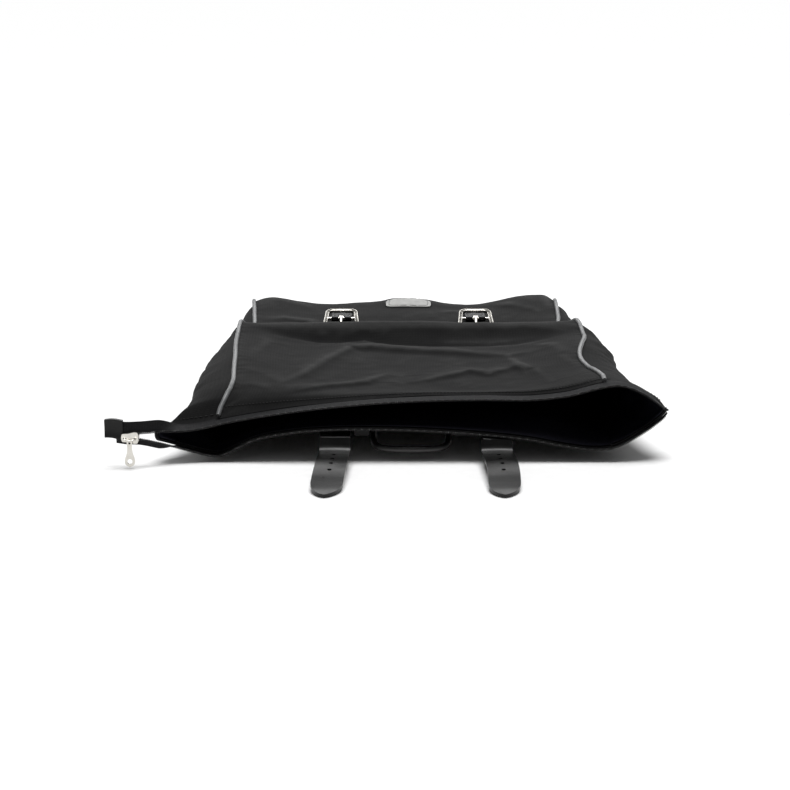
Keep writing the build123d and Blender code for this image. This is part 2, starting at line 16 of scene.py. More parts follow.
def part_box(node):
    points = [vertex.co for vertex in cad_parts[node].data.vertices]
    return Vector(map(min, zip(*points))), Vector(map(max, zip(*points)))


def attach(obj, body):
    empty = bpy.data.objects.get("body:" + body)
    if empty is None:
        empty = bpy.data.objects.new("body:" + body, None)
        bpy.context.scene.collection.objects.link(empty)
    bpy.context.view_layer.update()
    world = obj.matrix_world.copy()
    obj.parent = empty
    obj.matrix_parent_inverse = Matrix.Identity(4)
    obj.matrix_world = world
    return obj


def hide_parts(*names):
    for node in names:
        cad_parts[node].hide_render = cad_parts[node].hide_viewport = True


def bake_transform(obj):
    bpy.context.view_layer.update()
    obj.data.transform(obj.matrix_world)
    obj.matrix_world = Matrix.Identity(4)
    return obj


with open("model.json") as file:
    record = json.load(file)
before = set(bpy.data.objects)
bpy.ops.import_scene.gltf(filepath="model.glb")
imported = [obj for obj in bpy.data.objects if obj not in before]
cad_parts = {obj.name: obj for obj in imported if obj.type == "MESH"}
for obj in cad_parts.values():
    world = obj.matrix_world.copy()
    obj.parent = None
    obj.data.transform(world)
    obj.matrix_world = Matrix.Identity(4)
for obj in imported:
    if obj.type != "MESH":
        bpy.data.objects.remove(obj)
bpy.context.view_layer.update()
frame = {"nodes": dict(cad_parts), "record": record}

log = logging.getLogger("pannier")
logging.basicConfig(level=logging.INFO, format="%(message)s")

MM = 0.001
Array = np.ndarray
Point = tuple[float, float, float]
Piece = bpy.types.Object
Tree = bpy.types.NodeTree
Node = bpy.types.Node
Socket = bpy.types.NodeSocket

# The bag's own zero: the middle of the back lip, on the floor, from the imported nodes.
ZERO_X = sum(corner[0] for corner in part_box("rack_rail")) / 2
ZERO_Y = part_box("back_panel_upper")[0][1]

# Millimetres and degrees.
BOTTOM_BULGE = 3.0             # how far the bottom panel swells past its seams
BOTTOM_Y = (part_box("bottom_panel")[1][1] - ZERO_Y) / MM - BOTTOM_BULGE
CANVAS_THICK = 1.3
LINING_THICK = 0.5
LINING_INSET = 2.6
SHARP_EDGE = 50.0
ALONG_Y = (math.pi / 2, 0.0, 0.0)      # turns a cylinder from Z
ALONG_X = (0.0, math.pi / 2, 0.0)


def at(x: float, y: float, z: float) -> Point:
    """Return a place given in millimetres from the bag's zero as metres in the row frame."""
    return (ZERO_X + x * MM, ZERO_Y + y * MM, z * MM)


def linear(code: str) -> tuple[float, float, float, float]:
    """Turn an sRGB hex colour into linear RGBA.

    Args:
        code: Six hex digits.

    Returns:
        Linear red, green, blue and an alpha of one.
    """
    parts = [int(code[i:i + 2], 16) / 255 for i in (0, 2, 4)]
    lin = [p / 12.92 if p <= 0.04045 else ((p + 0.055) / 1.055) ** 2.4 for p in parts]
    return (lin[0], lin[1], lin[2], 1.0)


def corners(node: str) -> tuple[Array, Array]:
    """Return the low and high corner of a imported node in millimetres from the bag's zero."""
    low, high = (np.array(corner) - (ZERO_X, ZERO_Y, 0.0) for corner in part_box(node))
    return low / MM, high / MM


def deselect() -> None:
    """Deselect every object."""
    bpy.ops.object.select_all(action="DESELECT")


def take(obj: Piece) -> None:
    """Make one object the only selected and the active one."""
    deselect()
    obj.select_set(True)
    bpy.context.view_layer.objects.active = obj


def named(name: str) -> Piece:
    """Name the active object and its data, and return it."""
    obj = bpy.context.object
    obj.name = name
    obj.data.name = name
    return obj


def settle(obj: Piece) -> Piece:
    """Apply an object's place so that its mesh holds it, and return the object."""
    take(obj)
    bpy.ops.object.transform_apply(location=True, rotation=True, scale=True)
    return obj


def modify(obj: Piece, kind: str, **settings: object) -> None:
    """Add one modifier, set it and apply it.

    Args:
        obj: The piece.
        kind: The modifier's type.
        **settings: Its properties.
    """
    take(obj)
    modifier = obj.modifiers.new(kind.title(), kind)
    for key, value in settings.items():
        setattr(modifier, key, value)
    bpy.ops.object.modifier_apply(modifier=modifier.name)


@contextmanager
def editing(obj: Piece) -> Iterator[None]:
    """Edit one object's mesh, with all of it selected."""
    take(obj)
    bpy.ops.object.mode_set(mode="EDIT")
    bpy.ops.mesh.select_all(action="SELECT")
    yield
    bpy.ops.object.mode_set(mode="OBJECT")


def outwards(obj: Piece, merge: float = 1e-5) -> None:
    """Merge doubles and point every face outwards."""
    with editing(obj):
        bpy.ops.mesh.remove_doubles(threshold=merge)
        bpy.ops.mesh.normals_make_consistent(inside=False)


def bevel(obj: Piece, width: float, segments: int = 2) -> None:
    """Round a piece's sharp edges by a width in millimetres."""
    modify(obj, "BEVEL", width=width * MM, segments=segments, limit_method="ANGLE",
           angle_limit=math.radians(SHARP_EDGE))


def cylinder(radius: float, depth: float, location: Point, turn: Point = (0, 0, 0),
             sides: int = 20) -> Piece:
    """Add a cylinder.

    Args:
        radius: Its radius in millimetres.
        depth: Its length in millimetres.
        location: Its middle in the row frame.
        turn: Its rotation; along Z without one.
        sides: How many faces go round it.

    Returns:
        The object.
    """
    deselect()
    bpy.ops.mesh.primitive_cylinder_add(vertices=sides, radius=radius * MM, depth=depth * MM,
                                        location=location, rotation=turn)
    return bpy.context.object


def cut(obj: Piece, cutter: Piece) -> None:
    """Cut one object out of another and delete the cutter."""
    modify(obj, "BOOLEAN", operation="DIFFERENCE", object=cutter, solver="EXACT")
    bpy.data.objects.remove(cutter)


def smooth(obj: Piece, angle: float = 40.0) -> None:
    """Shade smooth, with edges sharper than the angle left crisp."""
    take(obj)
    bpy.ops.object.shade_smooth_by_angle(angle=math.radians(angle))


def join(name: str, objects: Sequence[Piece]) -> Piece:
    """Join several pieces into one of the given name."""
    deselect()
    for obj in objects:
        obj.select_set(True)
    bpy.context.view_layer.objects.active = objects[0]
    bpy.ops.object.join()
    return named(name)


class Spline:
    """A smooth curve through (position, value...) points, evaluated on arrays."""

    def __init__(self, *points: Sequence[float]) -> None:
        """Store the points and work out a tangent at each.

        Args:
            *points: Rows of a position and one or more values, in rising order.
        """
        rows = np.array(points, dtype=float)
        self.at_x = rows[:, 0]
        self.values = rows[:, 1:]
        self.slopes = np.gradient(self.values, self.at_x, axis=0)

    def __call__(self, x: Array) -> Array:
        """Return the values at x, one column for each value given."""
        x = np.clip(np.asarray(x, dtype=float), self.at_x[0], self.at_x[-1])
        i = np.clip(np.searchsorted(self.at_x, x, side="right") - 1, 0, len(self.at_x) - 2)
        span = (self.at_x[i + 1] - self.at_x[i])[..., None]
        t = ((x - self.at_x[i]) / (self.at_x[i + 1] - self.at_x[i]))[..., None]
        low, high = self.values[i], self.values[i + 1]
        into, out = self.slopes[i] * span, self.slopes[i + 1] * span
        result = ((2 * t**3 - 3 * t**2 + 1) * low + (t**3 - 2 * t**2 + t) * into
                  + (-2 * t**3 + 3 * t**2) * high + (t**3 - t**2) * out)
        return result[..., 0] if result.shape[-1] == 1 else result


def ease(x: Array) -> Array:
    """Return a smooth step from 0 to 1 as x goes from 0 to 1."""
    x = np.clip(x, 0.0, 1.0)
    return x * x * (3 - 2 * x)


def rumple(points: Array, size: float, seed: float) -> Array:
    """Return smooth noise from -1 to 1 at each point.

    Args:
        points: Rows of x, y, z in millimetres.
        size: The width of a bump in millimetres.
        seed: A shift that makes each use differ.
    """
    shift = Vector((seed * 7.3, seed * 3.1, seed * 1.7))
    return np.array([noise.noise(Vector(p) / size + shift) for p in points])


@dataclass(frozen=True)
class Fold:
    """A raised fold of cloth that runs along a line of (x, y) points, in millimetres."""

    line: tuple[tuple[float, float], ...]
    height: float
    near: float
    far: float

    def lift(self, x: Array, y: Array) -> Array:
        """Return how far the fold raises the cloth at each place.

        Args:
            x: Places across the bag.
            y: Places along the bag.

        Returns:
            Heights in millimetres, steeper on the side towards the mouth.
        """
        best = np.full(x.shape, 1e9)
        side = np.zeros(x.shape)
        along = np.zeros(x.shape)
        points = np.array(self.line)
        lengths = np.hypot(*(points[1:] - points[:-1]).T)
        done = 0.0
        for a, b, length in zip(points[:-1], points[1:], lengths):
            direction = (b - a) / length
            dx, dy = x - a[0], y - a[1]
            t = np.clip(dx * direction[0] + dy * direction[1], 0, length)
            rx, ry = dx - direction[0] * t, dy - direction[1] * t
            distance = np.hypot(rx, ry)
            closer = distance < best
            best = np.where(closer, distance, best)
            side = np.where(closer, ry, side)
            along = np.where(closer, done + t, along)
            done += length
        width = np.where(side < 0, self.near, self.far)
        ends = ease(along / (0.28 * done)) * ease((done - along) / (0.28 * done))
        return self.height * np.exp(-((best / width) ** 2)) * (0.25 + 0.75 * ends)


# ---------------------------------------------------------------------------------------
# Finishes
# ---------------------------------------------------------------------------------------


def add(tree: Tree, kind: str, settings: dict | None = None,
        links: dict | None = None) -> Node:
    """Add one shader node with its settings and links.

    Args:
        tree: The material's node tree.
        kind: The node's type.
        settings: Properties by name, or input values by socket name.
        links: Sockets to feed, by input name or number.

    Returns:
        The node.
    """
    made = tree.nodes.new(kind)
    for key, value in (settings or {}).items():
        if isinstance(key, str) and hasattr(made, key):
            setattr(made, key, value)
        else:
            made.inputs[key].default_value = value
    for key, source in (links or {}).items():
        tree.links.new(source, made.inputs[key])
    return made


def ramp(tree: Tree, source: Socket,
         stops: Sequence[tuple[float, str]]) -> Socket:
    """Colour a value by hex stops and return the colour socket."""
    made = add(tree, "ShaderNodeValToRGB", links={"Fac": source})
    elements = made.color_ramp.elements
    while len(elements) < len(stops):
        elements.new(0.5)
    for element, (place, code) in zip(elements, stops):
        element.position = place
        element.color = linear(code)
    return made.outputs["Color"]


def mottle(tree: Tree, place: Socket, size: float, detail: float = 3.0,
           roughness: float = 0.5) -> Socket:
    """Return a noise value.

    Args:
        tree: The material's node tree.
        place: The coordinates.
        size: The width of a blotch in millimetres.
        detail: How many finer layers it has.
        roughness: How strong these are.
    """
    settings = {"Scale": 1 / (size * MM), "Detail": detail, "Roughness": roughness}
    return add(tree, "ShaderNodeTexNoise", settings, {"Vector": place}).outputs["Fac"]


@dataclass(frozen=True)
class Finish:
    """A material: the shader's plain numbers, which each finish dresses with its own pattern."""

    name: str
    roughness: float = 0.6
    metallic: float = 0.0
    coat: float = 0.0
    sheen: float = 0.0
    shine: float = 0.5             # specular level
    dark: str = "1b1b1c"
    light: str = "2a2a2b"
    bump: float = 0.25
    coat_roughness: float = 0.22
    sheen_roughness: float = 0.45

    def make(self) -> bpy.types.Material:
        """Build the material once and return it."""
        if self.name in bpy.data.materials:
            return bpy.data.materials[self.name]
        material = bpy.data.materials.new(self.name)
        material.use_nodes = True
        tree = material.node_tree
        shader = tree.nodes["Principled BSDF"]
        for socket, value in (("Roughness", self.roughness), ("Metallic", self.metallic),
                              ("Coat Weight", self.coat), ("Coat Roughness", self.coat_roughness),
                              ("Sheen Weight", self.sheen), ("Sheen Roughness", self.sheen_roughness),
                              ("Specular IOR Level", self.shine)):
            shader.inputs[socket].default_value = value
        self.dress(tree, shader)
        return material

    def relief(self, tree: Tree, shader: Node, height: Socket,
               depth: float) -> None:
        """Raise the surface by a height value, over a depth in millimetres."""
        bump = add(tree, "ShaderNodeBump", {"Strength": self.bump, "Distance": depth * MM}, {"Height": height})
        tree.links.new(bump.outputs["Normal"], shader.inputs["Normal"])

    def marks(self, tree: Tree, shader: Node, wear: Socket,
              reach: tuple[float, float, float]) -> None:
        """Vary the gloss with wear.

        Args:
            tree: The material's node tree.
            shader: Its surface shader.
            wear: The value that says how worn a place is.
            reach: The wear at which the marks are full, and how far below and above the
                roughness they go.
        """
        full, less, more = reach
        gloss = add(tree, "ShaderNodeMapRange", {"From Min": 0.3, "From Max": full,
                                                 "To Min": self.roughness - less,
                                                 "To Max": self.roughness + more}, {"Value": wear})
        tree.links.new(gloss.outputs[0], shader.inputs["Roughness"])

    def dress(self, tree: Tree, shader: Node) -> None:
        """Add the pattern; each finish has its own."""

    def put_on(self, obj: Piece) -> None:
        """Give every face of a piece this finish."""
        obj.data.materials.clear()
        obj.data.materials.append(self.make())


@dataclass(frozen=True)
class WovenCloth(Finish):
    """Plain-woven cloth: warp and weft show as a fine bump, dye and dust as soft blotches."""

    thread: float = 1.5            # mm; real threads are about 0.5, too fine to show
    blotch: float = 38.0           # mm between blotches
    lint: float = 2.2              # mm between specks
    worn_and_highlit: str = "1d1d22"           # colour on the crests: rubbed wear and a painted highlight
    shine: float = 0.22

    def dress(self, tree: Tree, shader: Node) -> None:
        """Weave on the piece's own map, blotches and lint on object coordinates."""
        coords = add(tree, "ShaderNodeTexCoord")
        waves = []
        for direction in ("X", "Y"):
            wave = add(tree, "ShaderNodeTexWave",
                       {"wave_type": "BANDS", "bands_direction": direction, "wave_profile": "SIN",
                        "Scale": 1 / (self.thread * MM * 2 * math.pi), "Distortion": 0.4,
                        "Detail": 1.0}, {"Vector": coords.outputs["UV"]})
            waves.append(wave.outputs["Fac"])
        weave = add(tree, "ShaderNodeMath", {"operation": "MULTIPLY"}, {0: waves[0], 1: waves[1]})
        soft = mottle(tree, coords.outputs["Object"], self.blotch, 4.0, 0.6)
        fine = mottle(tree, coords.outputs["Object"], self.lint, 3.0, 0.7)
        mix = add(tree, "ShaderNodeMath", {"operation": "MULTIPLY_ADD", 1: 0.45}, {0: fine, 2: soft})
        colour = ramp(tree, mix.outputs[0], [(0.45, self.dark), (0.95, self.light)])
        threads = add(tree, "ShaderNodeMix", {"data_type": "RGBA", "blend_type": "MULTIPLY", 0: 0.35},
                      {6: colour, 7: ramp(tree, weave.outputs[0], [(0.0, "8c8c8c"), (0.6, "ffffff")])})
        # Crests take the lighter crest colour: partly rubbed wear, partly a painted highlight.
        crest_wear_and_highlight = add(tree, "ShaderNodeAttribute", {"attribute_name": "crest_wear_and_highlight"})
        patchy = add(tree, "ShaderNodeMath", {"operation": "MULTIPLY", "use_clamp": True},
                     {0: crest_wear_and_highlight.outputs["Fac"], 1: mix.outputs[0]})
        worn_and_highlit = add(tree, "ShaderNodeMix", {"data_type": "RGBA", 7: linear(self.worn_and_highlit)},
                   {0: patchy.outputs[0], 6: threads.outputs[2]})
        tree.links.new(worn_and_highlit.outputs[2], shader.inputs["Base Color"])
        height = add(tree, "ShaderNodeMath", {"operation": "MULTIPLY_ADD", 1: 0.6},
                     {0: fine, 2: weave.outputs[0]})
        self.relief(tree, shader, height.outputs[0], 0.5)


@dataclass(frozen=True)
class Leather(Finish):
    """Hide: pebbled grain under a glaze, rubbed lighter in places, with fine scuffs."""

    grain: float = 0.9             # mm between pebbles
    blotch: float = 14.0           # mm between worn places

    def dress(self, tree: Tree, shader: Node) -> None:
        """Pebbles from cells, wear from noise, scuffs in the gloss."""
        place = add(tree, "ShaderNodeTexCoord").outputs["Object"]
        cells = add(tree, "ShaderNodeTexVoronoi", {"Scale": 1 / (self.grain * MM), "feature": "SMOOTH_F1"},
                    {"Vector": place})
        wear = mottle(tree, place, self.blotch, 5.0, 0.65)
        tree.links.new(ramp(tree, wear, [(0.35, self.dark), (0.75, self.light)]), shader.inputs["Base Color"])
        self.marks(tree, shader, wear, (0.8, 0.08, 0.14))
        self.relief(tree, shader, cells.outputs["Distance"], 0.25)


@dataclass(frozen=True)
class Moulded(Finish):
    """Moulded, drawn or plated stock: an even colour with a faint grain, handling marks in the gloss."""

    grain: float = 0.6             # mm between grains
    blotch: float = 9.0            # mm between handling marks
    bump: float = 0.1
    stretch: tuple[float, float, float] = (1.0, 1.0, 1.0)

    def dress(self, tree: Tree, shader: Node) -> None:
        """Grain stretched along the working direction, and slow marks in colour and gloss."""
        coords = add(tree, "ShaderNodeTexCoord")
        place = add(tree, "ShaderNodeMapping", {"Scale": self.stretch}, {"Vector": coords.outputs["Object"]})
        fine = mottle(tree, place.outputs[0], self.grain)
        slow = mottle(tree, coords.outputs["Object"], self.blotch)
        tree.links.new(ramp(tree, slow, [(0.35, self.dark), (0.7, self.light)]), shader.inputs["Base Color"])
        self.marks(tree, shader, slow, (0.75, 0.04, 0.08))
        self.relief(tree, shader, fine, 0.1)


# Cotton duck, woven, dyed black and lightly waxed: matt, dusty, with a short nap. Its crests are painted
# lighter, partly as rubbed wear and partly as a painted highlight.
CANVAS = WovenCloth("waxed_cotton_canvas", roughness=0.86, sheen=0.03, dark="0b0b0c", light="191919",
                    worn_and_highlit="383838", shine=0.14)
# Coated nylon: tight weave, faint gloss, blue-black.
LINING = WovenCloth("coated_nylon_lining", roughness=0.5, dark="0a0a12", light="16161f", thread=1.0,
                    bump=0.15)
# Woven polyester tape, ribbed along its length.
TAPE = WovenCloth("woven_polyester_tape", roughness=0.78, dark="101011", light="1d1d1f", thread=1.2,
                  bump=0.45)
# Extruded vinyl piping: smooth, semi-gloss grey, rubbed on top.
PIPING = Moulded("extruded_vinyl_piping", roughness=0.38, dark="5c5d5e", light="747576")
# Nylon filament coil: glossy black.
COIL = Moulded("nylon_filament_coil", roughness=0.5, dark="101010", light="171717")
# Vegetable-tanned strap leather, dyed black and glazed: gloss that flares at low angles.
STRAP = Leather("glazed_strap_leather", roughness=0.34, coat=0.1, dark="050505", light="0d0d0d", bump=0.2,
                shine=0.22)
# Rubbed grey upper leather for the label.
LABEL = Leather("rubbed_grey_leather", roughness=0.5, dark="8a8a88", light="a6a6a3", coat=0.1)
# Rolled leather for the handle.
ROLLED = Leather("rolled_handle_leather", roughness=0.4, coat=0.2, dark="0f0f0f", light="232323")
# Bonded polyester thread.
THREAD = Moulded("bonded_polyester_thread", roughness=0.8, dark="040404", light="0a0a0a")
THREAD_GREY = Moulded("grey_polyester_thread", roughness=0.7, dark="6a6a68", light="82827f")
# Zinc casting, polished and nickel plated: warm bright metal.
NICKEL = Moulded("polished_nickel_plate", roughness=0.16, metallic=1.0, dark="c9c6bf", light="dad7d0",
                 bump=0.03)
# Steel, zinc plated: duller and cooler.
ZINC = Moulded("zinc_plated_steel", roughness=0.32, metallic=1.0, dark="8e9094", light="a4a6a9")
# Extruded aluminium, anodised black: fine drawn lines along X.
ANODISED = Moulded("black_anodised_aluminium", roughness=0.36, metallic=1.0, dark="2c2d2f", light="38393b",
                   stretch=(0.04, 1.0, 1.0), bump=0.15)
# Glass-filled nylon, moulded: matt black with a fine spark texture.
NYLON = Moulded("glass_filled_nylon", roughness=0.55, dark="151515", light="1f1f1f", bump=0.3)
NYLON_GREY = Moulded("grey_moulded_nylon", roughness=0.5, dark="303032", light="3d3d3f", bump=0.3)
# Polypropylene sheet for the boards.
SHEET = Moulded("polypropylene_sheet", roughness=0.6, dark="171717", light="202020", bump=0.2)


# ---------------------------------------------------------------------------------------
# The bag's form
# ---------------------------------------------------------------------------------------


class Panel(Enum):
    """The four walls of the bag."""

    FRONT = "front"
    BACK = "back"
    LEFT = "left"
    RIGHT = "right"

    @property
    def broad(self) -> bool:
        """Whether this is the front or the back, and not a gusset."""
        return self in (Panel.FRONT, Panel.BACK)


@dataclass
class Form:
    """Where the cloth lies, in millimetres from the bag's zero. Every cloth piece asks it."""

    bottom: float = BOTTOM_Y
    hem: float = 13.0              # from the coil edge to the canvas, in front
    back_hem: float = 8.0          # the same behind
    ridge: float = 297.0           # where the big fold crosses the front
    ridge_width: float = 14.0
    seam_reach: float = 0.13       # share of the width over which a seam still lifts the front
    label: tuple[float, float] = (5.0, 31.0)    # middle and half width of the rise under the label

    # Seams: position along the bag, then x and z.
    front_left: Spline = field(default_factory=lambda: Spline(
        (0, -178.5, 34), (12, -177, 41), (30, -172.5, 51), (58, -168, 61), (95, -169.5, 66), (140, -172, 70),
        (200, -176, 71), (262, -179, 71), (290, -179.5, 74), (306, -179, 73.5), (320, -175, 66),
        (340, -170.5, 61), (400, -172, 63), (460, -177, 64.5), (506, -180.5, 61)))
    front_right: Spline = field(default_factory=lambda: Spline(
        (0, 179, 68), (14, 178.5, 70), (32, 178.5, 72), (64, 174.5, 71.5), (98, 170.5, 68), (130, 167.5, 68),
        (160, 168.5, 70), (190, 173.5, 72), (225, 179.5, 72), (262, 181, 71), (290, 180, 75.5),
        (306, 178, 75), (322, 171, 66), (342, 166, 60.5), (400, 167.5, 62.5), (460, 170, 64.5),
        (506, 172.5, 61)))
    back_left: Spline = field(default_factory=lambda: Spline(
        (0, -180, 4.3), (25, -181, 6), (60, -182, 8), (130, -183, 11), (180, -184.5, 17.5),
        (245, -184.5, 17.5), (300, -184, 15), (400, -182, 11), (506, -180, 6)))
    back_right: Spline = field(default_factory=lambda: Spline(
        (0, 187, 13), (25, 187, 12), (60, 187, 11), (130, 185, 12), (180, 184.5, 17.5), (245, 184.5, 17.5),
        (300, 184, 15), (400, 182, 11), (506, 180, 6)))
    # Middle of each gusset, x and z.
    left_middle: Spline = field(default_factory=lambda: Spline(
        (0, -237, 27), (9, -231, 29), (20, -223, 34), (38, -214, 37), (60, -211, 40), (101, -210, 44),
        (184, -208, 46), (260, -201, 47), (300, -195.5, 46), (345, -192, 44), (400, -190.5, 46),
        (470, -188.5, 46), (506, -186, 38)))
    right_middle: Spline = field(default_factory=lambda: Spline(
        (0, 240, 46), (14, 237, 46), (35, 231, 47), (60, 225, 47), (114, 217, 47), (160, 212, 47),
        (219, 210, 49), (281, 204, 50), (310, 198, 49), (345, 190, 47), (400, 188, 47), (470, 185, 46),
        (506, 182, 38)))
    # Middle of front and back, z.
    front_middle: Spline = field(default_factory=lambda: Spline(
        (0, 52.5), (14, 54.5), (28, 56.5), (60, 55.5), (100, 56), (150, 57), (200, 57.5), (240, 58.5),
        (262, 59.5), (272, 61.5), (282, 67), (290, 72.6), (295, 75), (300, 74.8), (305, 70.5), (315, 62),
        (332, 54.5), (360, 53.5), (390, 57), (420, 60), (460, 60.5), (485, 61), (506, 58.5)))
    back_middle: Spline = field(default_factory=lambda: Spline(
        (0, 29.5), (20, 28.5), (60, 28), (130, 27.5), (190, 27), (245, 26.8), (400, 17.2), (506, 8)))
    # The coil edges of the two lips, x then y and z.
    upper_lip: Spline = field(default_factory=lambda: Spline(
        (-270, -17, 32), (-262, -17, 31.2), (-250, -15, 31), (-230, -9, 31.2), (-210, -1, 29.5),
        (-194, 2, 31), (-178, 4, 34.5), (-140, 8, 40.7), (-94, 10, 46.8), (-29, 12, 52.6), (20, 14, 54.6),
        (64, 15, 55.2), (119, 15, 55.6), (147, 14, 59.3), (175, 11, 67.2), (192, 10, 69.8), (208, 10, 65.5),
        (222, 10, 57.5), (233, 10, 49.5), (238, 10, 44.5)))
    lower_lip: Spline = field(default_factory=lambda: Spline(
        (-270, -17, 28), (-262, -17, 26.8), (-250, -14, 25.5), (-232, -9, 20.5), (-205, -3, 11.5),
        (-188, 0, 6.3), (-178, 0, 5.5), (-165, 0, 11), (-149, 0, 18.9), (-112, 0, 27), (-75, 0, 30),
        (-29, 0, 30.4), (27, 0, 28.3), (73, 0, 24.8), (110, 0, 20.6), (146, 0, 14), (170, 0, 11.5),
        (187, 0, 13), (211, 3, 24.4), (226, 6, 34), (235, 9, 41), (238, 10, 44.5)))
    # Far edge of the front, x then z above its straight line.
    far_edge: Spline = field(default_factory=lambda: Spline(
        (-180, 0), (-171, 3.4), (-160, 5.4), (-146, 4.6), (-125, 1.5), (-95, -1.6), (-55, 0.8), (-20, 1.8),
        (25, 1.6), (70, -1.4), (103, 2.4), (130, 7.2), (150, 8.2), (163, 6.8), (173, 0.0)))
    folds: tuple[Fold, ...] = (
        Fold(((-150, 30), (-128, 62), (-106, 113), (-84, 176), (-62, 232), (-40, 234), (10, 222), (66, 204),
              (100, 193), (146, 210)), 5.2, 9, 20),
        Fold(((-150, 16), (-117, 38), (-80, 66), (-44, 84), (-26, 116), (-10, 112)), 4.0, 7, 16),
        Fold(((-8, 84), (18, 96), (58, 124), (76, 113), (102, 134), (124, 122), (136, 64)), 4.2, 7, 18),
        Fold(((100, 190), (108, 142), (118, 92)), 2.8, 6, 9),
        Fold(((-157, 270), (-149, 236), (-162, 150)), 3.0, 8, 11),
        Fold(((128, 238), (148, 214), (158, 176), (176, 152)), 4.2, 9, 11),
        Fold(((118, 296), (150, 284), (178, 262)), 2.0, 8, 10),
        Fold(((-170, 110), (-140, 96), (-118, 60)), 2.2, 8, 11),
        Fold(((150, 170), (160, 130), (172, 96)), 3.0, 6, 7),
        Fold(((-170, 56), (-150, 58), (-130, 50)), 1.8, 5, 8),
        # The crease under the big fold.
        Fold(((-176, 284), (-150, 277), (-110, 270), (-75, 266), (-47, 277), (-20, 264), (0, 261), (45, 254),
              (85, 248), (130, 257), (176, 268)), -3.2, 6, 8),
        # Beyond the big fold.
        Fold(((-168, 384), (-140, 396), (-112, 388), (-94, 372)), 3.4, 7, 12),
        Fold(((96, 470), (122, 452), (146, 430), (160, 404)), 3.4, 9, 14),
        Fold(((30, 430), (52, 436), (96, 420)), 1.8, 8, 12),
        Fold(((-172, 486), (-130, 470), (-104, 446)), 2.0, 10, 12),
    )

    def front(self, u: Array, y: Array) -> Array:
        """Return front-panel points for u from 0 at the left seam to 1 at the right."""
        left, right = self.front_left(y), self.front_right(y)
        x = left[:, 0] + (right[:, 0] - left[:, 0]) * u
        middle = self.front_middle(y)
        ridge = np.exp(-(((y - self.ridge) / self.ridge_width) ** 2))
        # The fold across the front is highest in the middle and sinks towards its ends.
        middle = middle - ridge * (np.abs(2 * u - 1) ** 3 + 0.8 * np.sin(u * 9 + 1.0))
        z, away = self.sag(u, left[:, 1], middle, right[:, 1])
        z = z + self.far_edge(x) * ease((y - 410) / 80)
        spot, reach = self.label
        rise = (3.6 - 0.05 * (x - spot)) * np.exp(-(((x - spot) / reach) ** 4))
        z = z + rise * ease((y - 448) / 36) * ease((510 - y) / 14)
        lifted = sum(fold.lift(x, y) for fold in self.folds)
        points = np.column_stack([x, y, z])
        calm = 1 - 0.55 * np.exp(-(((y - 440) / 40) ** 2) - (((np.abs(x) - 40) / 60) ** 2))
        soft = 1.5 * rumple(points, 62, 1.0) + 0.75 * rumple(points, 27, 2.0) + 0.28 * rumple(points, 11, 3.0)
        edge = ease((y - 30) / 30)
        points[:, 2] += (lifted * edge + soft * (0.25 + 0.75 * edge) * calm) * (0.15 + 0.85 * away)
        seam = np.minimum(u, 1 - u) * (right[:, 0] - left[:, 0])
        points[:, 2] += 0.3 * np.exp(-seam / 6.0) * np.sin(y / 2.6 + 6 * rumple(points, 24, 4.0))
        # The front lip follows its own line over the first stretch.
        lip = self.upper_lip(x)
        pull = 1 - ease(y / 52)
        points[:, 1] += (lip[:, 0] + self.hem) * pull * (1 - y / 60).clip(0)
        zero = np.zeros_like(u)
        left, right = self.front_left(zero)[:, 1], self.front_right(zero)[:, 1]
        flat, _ = self.sag(u, left, self.front_middle(zero), right)
        points[:, 2] += (lip[:, 1] + 2.2 - flat) * pull
        return points

    def sag(self, u: Array, left: Array, middle: Array, right: Array) -> tuple[Array, Array]:
        """Hang the front between its seams.

        Args:
            u: From 0 at the left seam to 1 at the right.
            left: The left seam's height.
            middle: The height away from the seams.
            right: The right seam's height.

        Returns:
            The heights, and how free of the seams each place is, from 0 to 1.
        """
        near_left = np.exp(-((u / self.seam_reach) ** 1.5))
        near_right = np.exp(-(((1 - u) / self.seam_reach) ** 1.5))
        return middle + (left - middle) * near_left + (right - middle) * near_right, 1 - near_left - near_right

    def back(self, u: Array, y: Array) -> Array:
        """Return back-panel points for u from 0 at the right seam to 1 at the left."""
        left, right = self.back_left(y), self.back_right(y)
        x = right[:, 0] + (left[:, 0] - right[:, 0]) * u
        middle = self.back_middle(y)
        reach = ease(np.minimum(u, 1 - u) / (0.20 - 0.13 * ease((y - 60) / 130)))
        side = np.where(u < 0.5, right[:, 1], left[:, 1])
        z = side + (middle - side) * reach
        points = np.column_stack([x, y, z])
        hardware = np.exp(-(((y - 225) / 40) ** 2)) + np.exp(-(((y - 400) / 40) ** 2))
        soft = 0.9 * rumple(points, 55, 5.0) + 0.4 * rumple(points, 20, 6.0)
        points[:, 2] += (soft - 0.2) * reach * (1 - np.clip(hardware, 0, 1)) * ease((y - 90) / 30) * 0.8
        lip = self.lower_lip(x)
        pull = 1 - ease(y / 60)
        points[:, 1] += (lip[:, 0] + self.back_hem) * pull * (1 - y / 70).clip(0)
        start = np.zeros_like(u)
        low = np.where(u < 0.5, self.back_right(start)[:, 1], self.back_left(start)[:, 1])
        flat = low + (self.back_middle(start) - low) * ease(np.minimum(u, 1 - u) / 0.20)
        points[:, 2] += (lip[:, 1] - 1.4 - flat) * pull
        return points

